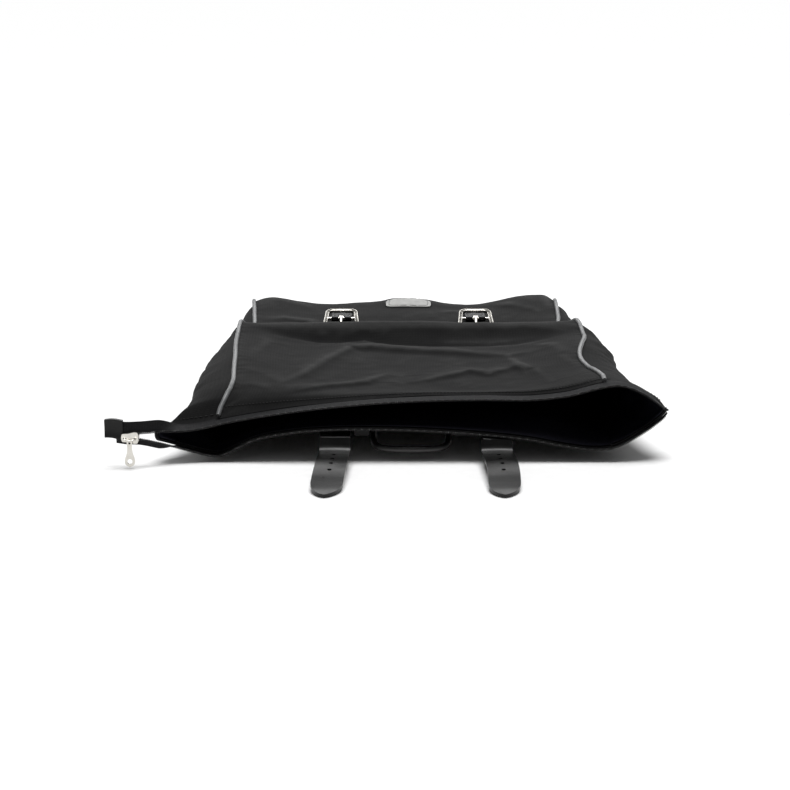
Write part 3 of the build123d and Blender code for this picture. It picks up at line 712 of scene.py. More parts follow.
    def gusset(self, u: Array, y: Array, left: bool) -> Array:
        """Return gusset points, for u from the back seam to the front (left) or front to back (right)."""
        s = 1 - u if left else u                    # 0 at the front seam, 1 at the back
        front = (self.front_left if left else self.front_right)(y)
        back = (self.back_left if left else self.back_right)(y)
        middle = (self.left_middle if left else self.right_middle)(y)
        closed = ease((y - self.bottom + 46) / 44)[:, None]
        handle = (2 * middle - (front + back) / 2) * (1 - closed) + (front + back) / 2 * closed
        a, b, c = ((1 - s) ** 2)[:, None], (2 * s * (1 - s))[:, None], (s**2)[:, None]
        xz = a * front + b * handle + c * back
        points = np.column_stack([xz[:, 0], y, xz[:, 1]])
        away = 4 * s * (1 - s)
        side = -1.0 if left else 1.0
        crumple = (2.6 * rumple(points, 34, 7.0 + side) + 1.3 * rumple(points, 15, 9.0 + side)
                   + 0.5 * rumple(points, 7, 11.0))
        strength = (0.55 if left else 1.0) * away * ease((y - 14) / 40) * (1 - closed[:, 0])
        points[:, 0] += side * crumple * strength
        points[:, 2] += 0.5 * crumple * strength
        high, low = self.upper_lip(points[:, 0]), self.lower_lip(points[:, 0])
        share = 1 - ease((s - 0.38) / 0.24)
        start = (high[:, 0] + self.hem) * share + (low[:, 0] + self.back_hem) * (1 - share)
        points[:, 1] += start * (1 - ease(y / 60)) * (1 - y / 70).clip(0)
        edge = (high[:, 1] + 1.0) * share + (low[:, 1] - 0.6) * (1 - share)
        points[:, 2] += (edge - points[:, 2]) * (1 - ease(y / 34))
        return points

    def wall(self, panel: Panel, u: Array, y: Array) -> Array:
        """Return the points of one wall."""
        if panel is Panel.FRONT:
            return self.front(u, y)
        if panel is Panel.BACK:
            return self.back(u, y)
        return self.gusset(u, y, panel is Panel.LEFT)


FORM = Form()


def grid_piece(name: str, columns: int, rows: int, place: Callable[[Array, Array], Array],
               size: tuple[float, float]) -> Piece:
    """Add a grid and lay it as a cloth surface.

    Args:
        name: The piece's name.
        columns: Squares across.
        rows: Squares along.
        place: Gives points in millimetres for u and v from 0 to 1.
        size: The cloth's flat width and length in millimetres, for the weave.

    Returns:
        The object.
    """
    deselect()
    bpy.ops.mesh.primitive_grid_add(x_subdivisions=columns, y_subdivisions=rows, size=2, calc_uvs=True)
    obj = named(name)
    mesh = obj.data
    flat = np.empty(len(mesh.vertices) * 3)
    mesh.vertices.foreach_get("co", flat)
    flat = flat.reshape(-1, 3)
    points = place((flat[:, 0] + 1) / 2, (flat[:, 1] + 1) / 2)
    points = points * MM + np.array([ZERO_X, ZERO_Y, 0.0])
    mesh.vertices.foreach_set("co", points.ravel())
    uv = mesh.uv_layers[0].data
    coords = np.empty(len(uv) * 2)
    uv.foreach_get("uv", coords)
    coords = coords.reshape(-1, 2) * np.array(size) * MM
    uv.foreach_set("uv", coords.ravel())
    mesh.update()
    return obj


def mark_crest_wear_and_highlight(obj: Piece, columns: int, rows: int, strength: float) -> None:
    """Note on each vertex of a grid how much it stands proud, for dust and wear on the crests and for a painted
    highlight there.

    Args:
        obj: A grid before it is thickened.
        columns: Its squares across.
        rows: Its squares along.
        strength: Wear and painted highlight for each millimetre that a place stands above its surroundings.
    """
    mesh = obj.data
    flat = np.empty(len(mesh.vertices) * 3)
    mesh.vertices.foreach_get("co", flat)
    place = flat.reshape(rows + 1, columns + 1, 3) / MM
    height = place[..., 2]
    wear = np.zeros_like(height)
    for reach in (2, 4):
        around = np.zeros_like(height)
        for dy, dx in ((reach, 0), (-reach, 0), (0, reach), (0, -reach)):
            rows_at = np.clip(np.arange(rows + 1) + dy, 0, rows)
            columns_at = np.clip(np.arange(columns + 1) + dx, 0, columns)
            around += height[rows_at][:, columns_at] / 4
        wear += np.clip(height - around, 0, 2)
    wear = np.clip(wear * strength, 0, 1)
    # This layer lightens the crests: partly rubbed wear, partly a painted highlight.
    layer = mesh.attributes.new("crest_wear_and_highlight", "FLOAT", "POINT")
    layer.data.foreach_set("value", wear.ravel())


def thicken(obj: Piece, thickness: float, offset: float = -1.0) -> None:
    """Give a sheet its thickness in millimetres."""
    modify(obj, "SOLIDIFY", thickness=thickness * MM, offset=offset, use_even_offset=False)


def tube(name: str, points: Sequence[Sequence[float]], radius: float, sides: int = 3,
         cyclic: bool = False, smooth_path: bool = True) -> Piece:
    """A round tube along points in millimetres, as a mesh.

    Args:
        name: The piece's name.
        points: Points along the middle.
        radius: The tube's radius in millimetres.
        sides: Bevel resolution.
        cyclic: Whether the tube closes on itself.
        smooth_path: A smooth curve instead of straight runs.

    Returns:
        The object.
    """
    deselect()
    bpy.ops.curve.primitive_nurbs_path_add()
    curve = bpy.context.object.data
    curve.splines.clear()
    spline = curve.splines.new("NURBS" if smooth_path else "POLY")
    spline.points.add(len(points) - 1)
    for target, point in zip(spline.points, points):
        target.co = (*at(*point), 1.0)
    if smooth_path:
        spline.order_u = 4
        spline.use_endpoint_u = not cyclic
    spline.use_cyclic_u = cyclic
    spline.resolution_u = 4
    curve.bevel_depth = radius * MM
    curve.bevel_resolution = sides
    curve.use_fill_caps = True
    bpy.ops.object.convert(target="MESH")
    obj = named(name)
    outwards(obj)
    smooth(obj, 60)
    return obj


def sew(name: str, points: Array, normals: Array, length: float, width: float,
        finish: Finish) -> Piece:
    """Lay a row of stitches.

    Args:
        name: The piece's name.
        points: Ends of the stitches in millimetres, one after another.
        normals: Which way is out of the cloth at each point.
        length: How much of each step the thread covers, from 0 to 1.
        width: Thread width in millimetres.
        finish: The thread's finish.

    Returns:
        One object with all the stitches.
    """
    deselect()
    bpy.ops.mesh.primitive_cylinder_add(vertices=6, radius=0.5, depth=1.0)
    seed = named(name)
    with editing(seed):
        bpy.ops.mesh.bevel(offset=0.16, segments=1)
    base = [v.co.copy() for v in seed.data.vertices]
    faces = [tuple(p.vertices) for p in seed.data.polygons]
    vertices, polygons = [], []
    for a, b, n in zip(points[:-1], points[1:], normals):
        along = Vector(b - a)
        step = along.length
        along.normalize()
        out = Vector(n).normalized()
        across = along.cross(out).normalized()
        out = across.cross(along)
        middle = Vector((a + b) / 2)
        first = len(vertices)
        for co in base:
            spot = (middle + along * (co.z * step * length) + across * (co.x * width)
                    + out * (co.y * width * 0.8))
            vertices.append(at(*spot))
        polygons += [tuple(i + first for i in face) for face in faces]
    seed.data.clear_geometry()
    seed.data.from_pydata(vertices, [], polygons)
    seed.data.update()
    outwards(seed)
    smooth(seed, 50)
    finish.put_on(seed)
    return seed


def fold_over(piece: Piece) -> None:
    """Bake a cloth piece's place into its mesh."""
    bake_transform(piece)


# ---------------------------------------------------------------------------------------
# Sub-assemblies
# ---------------------------------------------------------------------------------------


@dataclass
class Shell:
    """The canvas walls, their lining, the boards' cover and the piping."""

    crowding: float = 0.35         # how strongly the rows crowd towards the lip
    widths: dict[Panel, float] = field(default_factory=lambda: {
        Panel.FRONT: 360.0, Panel.BACK: 368.0, Panel.LEFT: 90.0, Panel.RIGHT: 90.0})
    columns: dict[Panel, int] = field(default_factory=lambda: {
        Panel.FRONT: 180, Panel.BACK: 110, Panel.LEFT: 40, Panel.RIGHT: 44})
    rows: int = 230

    def along(self, v: Array) -> Array:
        """Return the place along the bag for v from 0 to 1, with rows crowded at the lip."""
        return FORM.bottom * ((1 - self.crowding) * v + self.crowding * v**2.35)

    def canvas(self, panel: Panel) -> Piece:
        """Make one canvas wall with its folded hem."""
        def place(u: Array, v: Array) -> Array:
            return FORM.wall(panel, u, self.along(v))

        obj = grid_piece(f"canvas_{panel.value}", self.columns[panel], self.rows, place,
                         (self.widths[panel], FORM.bottom))
        if panel.broad:
            # Lighter crests: partly rubbed wear, partly a painted highlight.
            mark_crest_wear_and_highlight(obj, self.columns[panel], self.rows, 0.7)
        thicken(obj, CANVAS_THICK)
        smooth(obj, 60)
        CANVAS.put_on(obj)
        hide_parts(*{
            Panel.FRONT: ("front_panel_upper", "front_panel_lower"),
            Panel.BACK: ("back_panel_upper", "back_panel_lower"),
            Panel.LEFT: ("left_gusset_upper", "left_gusset_lower"),
            Panel.RIGHT: ("right_gusset_upper", "right_gusset_lower")}[panel])
        fold_over(obj)
        return obj

    def bottom(self) -> Piece:
        """Make the bottom panel, which bulges a little between its seams."""
        def place(u: Array, v: Array) -> Array:
            end = np.full(u.shape, FORM.bottom)
            top = FORM.front(1 - u, end)
            low = FORM.back(u, end)
            points = low + (top - low) * v[:, None]
            bulge = 4.2 * np.sin(np.pi * v) ** 0.7 * np.clip(np.minimum(u, 1 - u) / 0.06, 0, 1)
            points[:, 1] = FORM.bottom + bulge
            points[:, 1] += 0.8 * rumple(points, 22, 13.0) * np.sin(np.pi * v) - 0.4
            return points

        obj = grid_piece("canvas_bottom", 110, 18, place, (360, 62))
        thicken(obj, CANVAS_THICK)
        smooth(obj, 60)
        CANVAS.put_on(obj)
        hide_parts("bottom_panel")
        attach(obj, "bag_body")
        return obj

    def lining(self) -> Piece:
        """Make the lining: four walls and a floor, looser and more creased than the canvas."""
        walls = []
        for panel in Panel:
            def place(u: Array, v: Array, panel: Panel = panel) -> Array:
                y = 2.0 + (FORM.bottom - 6.0) * v
                points = FORM.wall(panel, u, y)
                ahead = FORM.wall(panel, np.clip(u + 0.01, 0, 1), y)
                behind = FORM.wall(panel, np.clip(u - 0.01, 0, 1), y)
                along = ahead - behind
                inward = np.column_stack([along[:, 2], np.zeros(len(u)), -along[:, 0]])
                inward /= np.maximum(np.linalg.norm(inward, axis=1), 1e-6)[:, None]
                loose = 1.2 * rumple(points, 30, 21.0) + 0.6 * rumple(points, 12, 22.0)
                slack = ease((v * FORM.bottom - 12) / 40) * ease(np.minimum(u, 1 - u) / 0.1)
                depth = LINING_INSET + (1.6 + loose) * slack * (0.4 if panel is Panel.BACK else 1.0)
                if panel is Panel.BACK:             # the board stands under the lining here
                    depth = depth + 3.5 * ease((y - 180) / 20)
                    depth = depth + 2.2 * ease((y - 10) / 14) * ease((190 - y) / 20)
                points = points + inward * depth[:, None]
                points[:, 1] = np.minimum(points[:, 1], FORM.bottom - 3)
                return points

            walls.append(grid_piece(f"lining_{panel.value}", 60 if panel.broad else 30, 110, place, (360, 500)))

        def floor_place(u: Array, v: Array) -> Array:
            end = np.full(u.shape, FORM.bottom - 5.0)
            top, low = FORM.front(1 - u, end), FORM.back(u, end)
            top[:, 2] -= 3.0
            low[:, 2] += 6.0
            points = low + (top - low) * v[:, None]
            points[:, 1] = FORM.bottom - 4.0
            return points

        walls.append(grid_piece("lining_floor", 40, 8, floor_place, (360, 60)))
        obj = join("bag_lining", walls)
        thicken(obj, LINING_THICK)
        smooth(obj, 60)
        LINING.put_on(obj)
        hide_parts("lining_upper", "lining_lower", "back_board", "base_board")
        fold_over(obj)
        return obj

    def piping(self, left: bool) -> Piece:
        """Make the piping cord of one front seam."""
        seam = FORM.front_left if left else FORM.front_right
        side = -1.0 if left else 1.0
        steps = np.linspace(3, FORM.bottom - 1, 90)
        line = seam(steps)
        u = np.full(steps.shape, 0.0 if left else 1.0)
        surface = FORM.front(u, steps)
        wobble = 0.35 * rumple(surface, 16, 31.0 + side)
        points = np.column_stack([line[:, 0] + side * 1.3 + wobble, surface[:, 1], surface[:, 2] + 1.0])
        name = "left" if left else "right"
        cord = tube(f"piping_{name}", points, 2.3, 4)
        PIPING.put_on(cord)
        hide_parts(f"{name}_piping_upper", f"{name}_piping_lower")
        fold_over(cord)
        return cord

    def build(self) -> None:
        """Make every cloth wall, the lining and the piping."""
        for panel in Panel:
            self.canvas(panel)
            log.info("canvas %s", panel.value)
        self.bottom()
        self.lining()
        for left in (True, False):
            self.piping(left)
        log.info("shell done")


@dataclass
class Zip:
    """Tapes, coils, end tab, slider and pull."""

    tape_width: float = 17.0
    coil_radius: float = 1.25
    pitch: float = 1.7
    wire: float = 0.42
    hem_row: float = 16.0          # from the lip to the heavy row of stitches

    def lip(self, upper: bool, x: Array) -> Array:
        """Return the coil edge as points."""
        yz = (FORM.upper_lip if upper else FORM.lower_lip)(x)
        return np.column_stack([x, yz])

    def stations(self, upper: bool, start: float, end: float, step: float) -> Array:
        """Return x positions spaced evenly along the lip."""
        x = np.linspace(start, end, 1200)
        points = self.lip(upper, x)
        run = np.concatenate([[0], np.cumsum(np.linalg.norm(np.diff(points, axis=0), axis=1))])
        wanted = np.arange(0, run[-1], step)
        return np.interp(wanted, run, x)

    def tape(self, upper: bool) -> Piece:
        """Make one tape, from its coil edge back to under the hem."""
        x = self.stations(upper, -270, 237.5, 1.5)
        edge, sign = ("front", 1) if upper else ("back", -1)

        def place(u: Array, v: Array) -> Array:
            spot = np.interp(u, np.linspace(0, 1, len(x)), x)
            points = self.lip(upper, spot)
            tail = ease((-212 - spot) / 22)
            deep = self.tape_width * v * (1 - 0.75 * ease((spot - 220) / 15))
            points[:, 1] += deep * (1 - tail) + deep * 0.12 * tail
            points[:, 2] += sign * (0.16 * deep * (1 - tail) + deep * (0.62 if upper else 0.36) * tail)
            points[:, 2] += 0.12 * np.sin(v * 9) - sign * 0.9 * ease((v - 0.5) / 0.3) * (1 - tail)
            return points

        obj = grid_piece(f"zip_tape_{edge}_edge", len(x) - 1, 8, place, (520, self.tape_width))
        thicken(obj, 0.7, 0.0)
        smooth(obj, 60)
        TAPE.put_on(obj)
        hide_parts(f"zip_tape_{edge}")
        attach(obj, "roll_top")
        return obj

    def coil(self, upper: bool) -> Piece:
        """Make one coil as a helix along its lip."""
        turns = self.stations(upper, -250, 236, self.pitch)
        per = 6                                     # points to a turn
        u = np.arange(0, (len(turns) - 1) * per) / per
        x = np.interp(u, np.arange(len(turns)), turns)
        middle = self.lip(upper, x)
        angle = u * 2 * np.pi
        middle[:, 1] += self.coil_radius * np.cos(angle) - 0.9
        middle[:, 2] += self.coil_radius * np.sin(angle) * 0.8
        edge = "front" if upper else "back"
        obj = tube(f"zip_coil_{edge}_edge", middle, self.wire, 0, smooth_path=False)
        COIL.put_on(obj)
        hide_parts(f"zip_coil_{edge}")
        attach(obj, "roll_top")
        return obj

    def tape_stitches(self) -> None:
        """Sew both hems down, in one heavy row each."""
        # Each wall's stitches: their number, the stretch of the wall, and the way out of the cloth.
        rows = {Panel.LEFT: (12, 0.62, 0.99, (-0.6, 0, 0.8)), Panel.FRONT: (110, 0.004, 0.996, (0, 0, 1)),
                Panel.RIGHT: (12, 0.01, 0.4, (0.6, 0, 0.8)), Panel.BACK: (110, 0.004, 0.996, (0, 0, -1))}
        for hem, panels in (("front", (Panel.LEFT, Panel.FRONT, Panel.RIGHT)), ("back", (Panel.BACK,))):
            for i, panel in enumerate(panels):
                count, start, end, out = rows[panel]
                u = np.linspace(start, end, count + 1)
                points = FORM.wall(panel, u, np.full(u.shape, self.hem_row)) + np.array(out) * 0.25
                obj = sew(f"hem_stitches_{hem}_{i}", points, np.tile(out, (len(u), 1)), 0.55, 1.5, THREAD)
                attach(obj, "roll_top")

    def end_tab(self) -> Piece:
        """Make the leather tab folded over the tapes' ends."""
        low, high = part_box("zip_end_tab")
        low, high = np.array(low) + (0.003, 0, 0), np.array(high) + (0.003, 0, 0)
        size = high - low
        deselect()
        bpy.ops.mesh.primitive_cube_add(size=1, location=(low + high) / 2, scale=size * (1, 0.9, 0.86))
        obj = settle(named("zip_end_tab_leather"))
        with editing(obj):
            bpy.ops.mesh.subdivide(number_cuts=7)
        for vertex in obj.data.vertices:
            x = (vertex.co.x - low[0]) / size[0]
            z = (vertex.co.z - low[2]) / size[2] - 0.5
            vertex.co.y += 0.0012 * math.cos(z * 3.1) - 0.0022 * (1 - x) ** 2
            vertex.co.z += 0.0026 * (1 - x) + 0.0008 * math.sin(x * 4)
            vertex.co.z = low[2] + size[2] * 0.5 + (vertex.co.z - low[2] - size[2] * 0.5) * (0.78 + 0.12 * x)
        bevel(obj, 0.9, 3)
        smooth(obj, 50)
        STRAP.put_on(obj)
        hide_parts("zip_end_tab", "zip_top_stops")
        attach(obj, "roll_top")
        return obj

    def pull(self) -> Piece:
        """Make the bottle-shaped pull with its eye and hole."""
        low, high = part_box("zip_pull")
        x, y, foot = (low[0] + high[0]) / 2, (low[1] + high[1]) / 2, low[2]
        length = 25.4
        outline = Spline((0, 0.0), (1.2, 2.6), (3.0, 4.2), (5.4, 4.75), (8.2, 4.3), (12, 3.0), (16, 2.3),
                         (20, 2.2), (23.0, 2.5), (24.6, 1.9), (length, 0.0))
        deselect()
        bpy.ops.mesh.primitive_grid_add(x_subdivisions=16, y_subdivisions=52, size=2)
        obj = named("zip_pull_drop")
        for vertex in obj.data.vertices:
            height = (vertex.co.y + 1) / 2 * length
            half = max(float(outline(np.array([height]))[0]), 0.05)
            vertex.co = (x + vertex.co.x * half * MM, y, foot + height * MM)
        thicken(obj, 1.5, 0.0)
        for height, radius in ((5.3, 2.3), (22.6, 1.1)):
            cut(obj, cylinder(radius, 10.0, (x, y, foot + height * MM), ALONG_Y, 28))
        bevel(obj, 0.35)
        outwards(obj)
        smooth(obj, 40)
        NICKEL.put_on(obj)
        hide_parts("zip_pull")
        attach(obj, "zip_pull")
        return obj

    def slider(self) -> Piece:
        """Make the slider: two waisted wings, the bridge between them and the bail in front."""
        low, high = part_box("zip_slider")
        x, z = (low[0] + high[0]) / 2, (low[2] + high[2]) / 2
        back = high[1]
        front = back - 0.0084
        pieces = []
        for side in (front + 0.0009, back - 0.0009):
            deselect()
            bpy.ops.mesh.primitive_grid_add(x_subdivisions=20, y_subdivisions=14, size=2)
            wing = named("slider_wing")
            for vertex in wing.data.vertices:
                u, w = vertex.co.x, vertex.co.y
                half = 5.7 * (0.74 + 0.26 * ease(np.array([(u + 0.4) / 1.1]))[0]) * (1 - 0.10 * abs(u) ** 6)
                vertex.co = (x + u * 8.0 * MM * (1 - 0.12 * w * w), side, z + w * half * MM)
            thicken(wing, 1.5, 0.0)
            bevel(wing, 0.4)
            pieces.append(wing)
        cylinder(1.4, (back - front) / MM - 1.0, (x + 0.0035, (front + back) / 2, z), ALONG_Y)
        pieces.append(settle(named("slider_bridge")))
        pull_low, pull_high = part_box("zip_pull")
        pin_y, pin_z = (pull_low[1] + pull_high[1]) / 2, pull_high[2] - 0.002
        bail = [(-5.2, front, z), (-5.0, pin_y + 0.0004, pin_z), (-2.5, pin_y, pin_z), (2.5, pin_y, pin_z),
                (5.0, pin_y + 0.0004, pin_z), (5.2, front, z)]
        points = [((x - ZERO_X) / MM + bx, (by - ZERO_Y) / MM, bz / MM) for bx, by, bz in bail]
        pieces.append(tube("slider_bail", points, 0.85, 3))
        obj = join("zip_slider_body", pieces)
        outwards(obj)
        smooth(obj, 40)
        NICKEL.put_on(obj)
        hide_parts("zip_slider")
        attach(obj, "zip_slider")
        return obj

    def build(self) -> None:
        """Make every piece of the zip."""
        for upper in (True, False):
            self.tape(upper)
            self.coil(upper)
        self.tape_stitches()
        self.end_tab()
        self.slider()
        self.pull()
        log.info("zip done")


@dataclass
class Straps:
    """The two closing straps and their sewn bases."""

    half_width: float = 14.25
    thick: float = 3.0
    hinge: float = -8.4
    tip: float = 121.0             # how far the point lies in front of the lip
    holes: tuple[float, ...] = (-27.0, -42.0, -57.0, -72.0)
    side: Spline = field(default_factory=lambda: Spline(
        (-121, 3.2), (-110, 4.2), (-97, 6.8), (-82, 10.2), (-70, 12.2), (-48, 14.2), (-34, 13.6), (-24, 13.4),
        (-17, 13.9), (-13, 15.4), (-10.4, 18.5), (-9.2, 22), (-8.6, 24.6)))

    def free_end(self, name: str, x: float) -> Piece:
        """Make the free end of one strap with its row of holes and rounded point."""
        length = self.hinge + self.tip
        sway = Spline((0, 5.0), (0.45, 2.5), (1, -1.5)) if x < 0 else Spline((0, 3.6), (0.6, 6.5), (1, 5.2))

        def place(u: Array, v: Array) -> Array:
            y = self.hinge - length * v
            left = length * (1 - v)
            half = self.half_width * np.clip(1 - (1 - np.clip(left / 25, 0, 1)) ** 1.75, 0, 1) ** 0.68
            across = (2 * u - 1) * half
            z = self.side(y) + 0.5 * (1 - (2 * u - 1) ** 2) * (1 - v)
            z = z + 0.04 * across * np.sin(v * 3.0) * np.sign(x) - (1.6 if x > 0 else 0.3) * ease(1 - v / 0.12)
            return np.column_stack([x + across + sway(v), y, z])

        obj = grid_piece(f"strap_{name}", 22, 76, place, (28.5, 118))
        outwards(obj, 1e-4)
        if obj.data.polygons[0].normal.z < 0:
            obj.data.flip_normals()
        thicken(obj, self.thick)
        for hole in self.holes:
            aside = float(sway(np.array([(self.hinge - hole) / length]))[0])
            cut(obj, cylinder(2.0, 30.0, at(x + aside, hole, float(self.side(np.array([hole]))[0]))))
        bevel(obj, 0.5)
        outwards(obj)
        smooth(obj, 45)
        STRAP.put_on(obj)
        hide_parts(f"{name}_strap")
        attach(obj, f"{name}_strap")
        return obj

    def base(self, name: str, x: float) -> Piece:
        """Make the sewn end under the back panel."""
        low, high = corners(f"{name}_strap_base")
        start = self.hinge + 2.9

        def place(u: Array, v: Array) -> Array:
            y = start + (83.9 - start) * v
            across = x + (2 * u - 1) * self.half_width + 5.0 * (1 - v)
            cloth = FORM.back(np.clip((184 - across) / 366, 0, 1), np.clip(y, 2, None))[:, 2]
            return np.column_stack([across, y, np.minimum(cloth - 0.3, high[2])])

        obj = grid_piece(f"strap_base_{name}", 8, 24, place, (28.5, 87))
        thicken(obj, high[2] - low[2])
        bevel(obj, 0.6)
        smooth(obj, 45)
        STRAP.put_on(obj)
        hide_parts(f"{name}_strap_base")
        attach(obj, "roll_top")
        return obj

    def build(self) -> None:
        """Make both straps."""
        for name in ("left", "right"):
            low, high = corners(f"{name}_strap")
            x = (low[0] + high[0]) / 2
            self.free_end(name, x)
            self.base(name, x)
        log.info("straps done")


@dataclass
class Trim:
    """The label, the stitches on the chapes, the grab handle and the rivets."""

    label_shift: float = -4.5
    shank: float = 1.9             # radius of rivet shanks and handle pins
    strap_x: float = 75.0          # rivets of the strap bases and of the handle's loops
    loop_x: float = 46.5
    rivet_y: tuple[float, float] = (25.0, 65.0)

    def patch(self) -> Piece:
        """Make the leather label: padded, stitched round its edge, with no lettering."""
        low, high = corners("label_patch")
        half_x, half_y, _ = (high - low) / 2
        cx, cy, _ = (low + high) / 2 + (self.label_shift, 0, 0)

        def ground(x: Array, y: Array) -> Array:
            left, right = FORM.front_left(y)[:, 0], FORM.front_right(y)[:, 0]
            return FORM.front((x - left) / (right - left), y)[:, 2]

        def place(u: Array, v: Array) -> Array:
            a, b = 2 * u - 1, 2 * v - 1
            rim = np.maximum(np.abs(a), np.abs(b))
            power = 5.0                             # of the rounded rectangle
            scale = rim / np.maximum((np.abs(a) ** power + np.abs(b) ** power) ** (1 / power), 1e-9)
            scale = np.where(rim < 1e-6, 1.0, scale)
            px, py = cx + a * scale * half_x, cy + b * scale * half_y
            z = ground(px, py) + 1.0 + 0.8 * (1 - rim**6) - 0.35 * np.exp(-(((rim - 0.84) / 0.05) ** 2))
            return np.column_stack([px, py, z])

        obj = grid_piece("label_leather", 40, 24, place, (52, 26))
        thicken(obj, 1.4)
        smooth(obj, 50)
        LABEL.put_on(obj)
        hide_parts("label_patch")
        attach(obj, "bag_body")
        turn = np.linspace(0, 2 * np.pi, 61)
        a = np.sign(np.cos(turn)) * np.abs(np.cos(turn)) ** 0.3
        b = np.sign(np.sin(turn)) * np.abs(np.sin(turn)) ** 0.3
        px, py = cx + a * half_x * 0.86, cy + b * half_y * 0.82
        points = np.column_stack([px, py, ground(px, py) + 1.7])
        row = sew("label_stitches", points, np.tile((0, 0, 1), (len(turn), 1)), 0.66, 0.6, THREAD_GREY)
        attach(row, "bag_body")
        return obj

    def chapes(self) -> None:
        """Sew a box of stitches on each chape."""
        for name in ("left", "right"):
            low, high = corners(f"{name}_buckle_chape")
            x0, x1 = low[0] + 2.2, high[0] - 2.2
            y0, y1, z = high[1] - 22, high[1] - 2.2, high[2] - 2.6
            box = [(x0, y0), (x1, y0), (x1, y1), (x0, y1), (x0, y0)]
            points = []
            for (ax, ay), (bx, by) in zip(box[:-1], box[1:]):
                count = max(int(math.hypot(bx - ax, by - ay) / 3.0), 1)
                points += [(ax + (bx - ax) * i / count, ay + (by - ay) * i / count, z) for i in range(count)]
            points.append((x0, y0, z))
            row = sew(f"chape_stitches_{name}", np.array(points), np.tile((0, 0, 1), (len(points), 1)),
                      0.7, 0.7, THREAD)
            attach(row, "bag_body")

    def handle(self) -> Piece:
        """Make the rolled grab handle with its pins."""
        x, y = 35.5, corners("grab_handle")[1][1] - 3.0
        half = [(x, y, 18), (x, 38, 15.6), (x, 24, 12.6), (32, 10, 11.2), (21, 4.6, 10.7)]
        points = [(-px, py, pz) for px, py, pz in half] + [(0, 3.8, 10.5)] + half[::-1]
        pieces = [tube("grab_handle_loop", points, 3.0, 5)]
        for side in (-1, 1):
            deselect()
            bpy.ops.mesh.primitive_uv_sphere_add(segments=20, ring_count=12, radius=3.1 * MM,
                                                 location=at(side * x, y, 18))
            pieces.append(settle(named("handle_end")))
            cylinder(self.shank, 18.0, at(side * (x + 9.3), y, 18), ALONG_X)
            pieces.append(settle(named("handle_pin")))
        obj = join("grab_handle_rolled", pieces)
        smooth(obj, 40)
        ROLLED.put_on(obj)
        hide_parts("grab_handle")
        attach(obj, "grab_handle")
        return obj

    def rivets(self, node: str, places: Sequence[tuple[float, float]], low: float, radius: float) -> None:
        """Make domed rivets that end inside the lining.

        Args:
            node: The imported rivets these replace.
            places: Where they stand, in millimetres.
            low: The height of the leather's lower face.
            radius: The dome's radius.
        """
        pieces = []
        for x, y in places:
            deselect()
            bpy.ops.mesh.primitive_uv_sphere_add(segments=24, ring_count=12, radius=radius * MM,
                                                 location=at(x, y, low - 0.1), scale=(1, 1, 0.28))
            pieces.append(settle(named("rivet_dome")))
            cylinder(self.shank, 5.0, at(x, y, low + 2.4))
            pieces.append(settle(named("rivet_shank")))
        obj = join(f"{node}_domed", pieces)
        smooth(obj, 40)
        NICKEL.put_on(obj)
        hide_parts(node)
        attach(obj, "roll_top")

    def build(self) -> None:
        """Make the label, stitches, handle and rivets."""
        straps = [(side * self.strap_x, y) for side in (-1, 1) for y in self.rivet_y]
        self.rivets("strap_rivets", straps, 21.9, 4.5)
        self.rivets("handle_rivets", [(side * self.loop_x, self.rivet_y[1]) for side in (-1, 1)], 22.6, 4.0)
        self.patch()
        self.chapes()
        self.handle()
        log.info("trim done")


@dataclass
class Hardware:
    """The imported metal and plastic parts, which keep their shapes and get their finishes."""

    finishes: dict[str, Finish] = field(default_factory=lambda: {
        "nickel": NICKEL, "steel": ZINC, "anodised_rail": ANODISED, "nylon": NYLON, "nylon_lever": NYLON_GREY,
        "board": SHEET, "strap_leather": STRAP, "canvas": CANVAS, "lining": LINING, "piping": PIPING,
        "zip_tape": TAPE, "zip_coil": COIL, "label_leather": LABEL, "handle_cord": ROLLED})

    def build(self) -> None:
        """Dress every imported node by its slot."""
        for part in frame["record"]["subparts"]:
            node = frame["nodes"].get(part["node"])
            if node is not None:
                finish = self.finishes[part["material_slot"]].make()
                if not node.material_slots:
                    node.data.materials.append(finish)
                for place in node.material_slots:
                    place.material = finish
        log.info("hardware dressed")


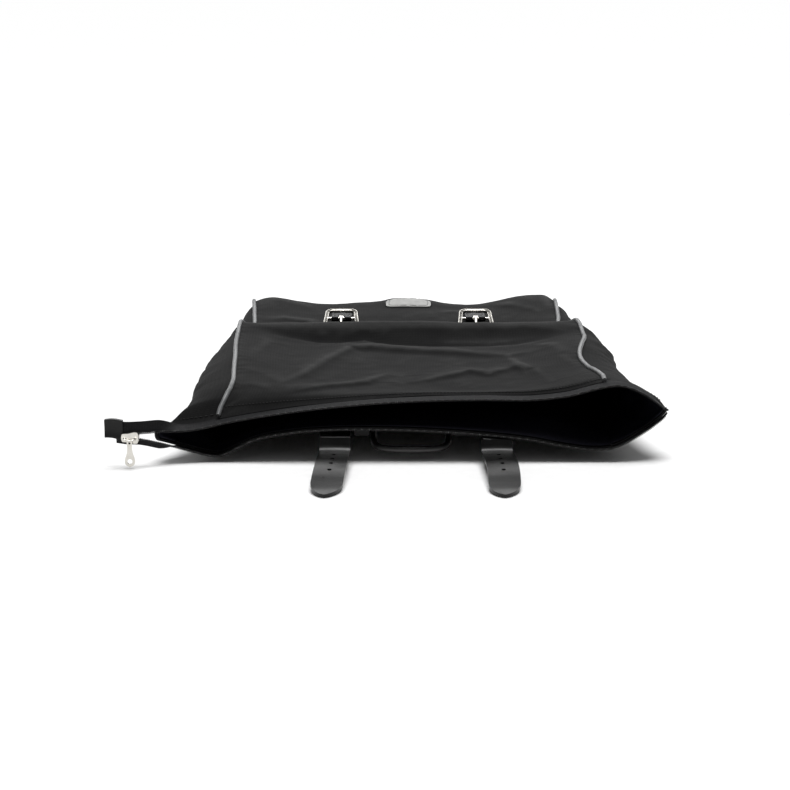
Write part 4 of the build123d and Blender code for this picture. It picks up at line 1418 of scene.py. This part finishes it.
@dataclass
class Studio:
    """Floor, lights and camera."""

    focal: float = 84.8
    tilt: float = 13.0
    eye: Point = (-15.0, -1666.0, 448.0)
    floor_size: float = 90.0       # metres, out to the horizon
    floor_gap: float = 0.0004
    surround: float = 0.16
    sun: float = 3.1
    sun_angle: float = 38.0
    cloth: float = 46.0

    def floor(self) -> None:
        """Lay the pale floor out to the horizon."""
        deselect()
        bpy.ops.mesh.primitive_plane_add(size=self.floor_size, location=(0, 0, -self.floor_gap))
        obj = settle(named("studio_floor"))
        Moulded("matt_white_floor", roughness=0.9, dark="f4f4f4", light="f7f7f7", bump=0.0).put_on(obj)

    def lights(self) -> None:
        """Hang one broad overhead light and a lit white cloth behind, in a dim surround."""
        world = bpy.data.worlds.new("studio_surround")
        world.use_nodes = True
        surround = world.node_tree.nodes["Background"]
        surround.inputs["Color"].default_value = (1, 1, 1, 1)
        surround.inputs["Strength"].default_value = self.surround
        bpy.context.scene.world = world
        deselect()
        bpy.ops.object.light_add(type="SUN", location=(0, 0.4, 2),
                                 rotation=(math.radians(-4), math.radians(3), 0))
        light = bpy.context.object
        light.name = "overhead_softbox"
        light.data.energy = self.sun
        light.data.angle = math.radians(self.sun_angle)
        deselect()
        bpy.ops.object.light_add(type="AREA", location=(0, 3.0, 1.65),
                                 rotation=(math.radians(-61), 0, 0))
        cloth = bpy.context.object
        cloth.name = "lit_white_cloth"
        cloth.data.shape = "RECTANGLE"
        cloth.data.size, cloth.data.size_y = 4.2, 1.3
        cloth.data.energy = self.cloth
        cloth.visible_camera = False

    def camera(self) -> None:
        """Set the camera low in front of the mouth."""
        deselect()
        bpy.ops.object.camera_add(location=at(*self.eye), rotation=(math.radians(90 - self.tilt), 0, 0))
        cam = bpy.context.object
        cam.name = "camera"
        cam.data.lens = self.focal
        cam.data.sensor_width = 36.0
        bpy.context.scene.camera = cam
        bpy.context.scene.view_settings.view_transform = "Standard"

    def build(self) -> None:
        """Set up the studio."""
        self.floor()
        self.lights()
        self.camera()
        log.info("studio done")


def main() -> None:
    """Build the studio and the bag, piece by piece."""
    Studio().build()
    Hardware().build()
    Shell().build()
    Zip().build()
    Straps().build()
    Trim().build()


if __name__ == "__main__":
    main()
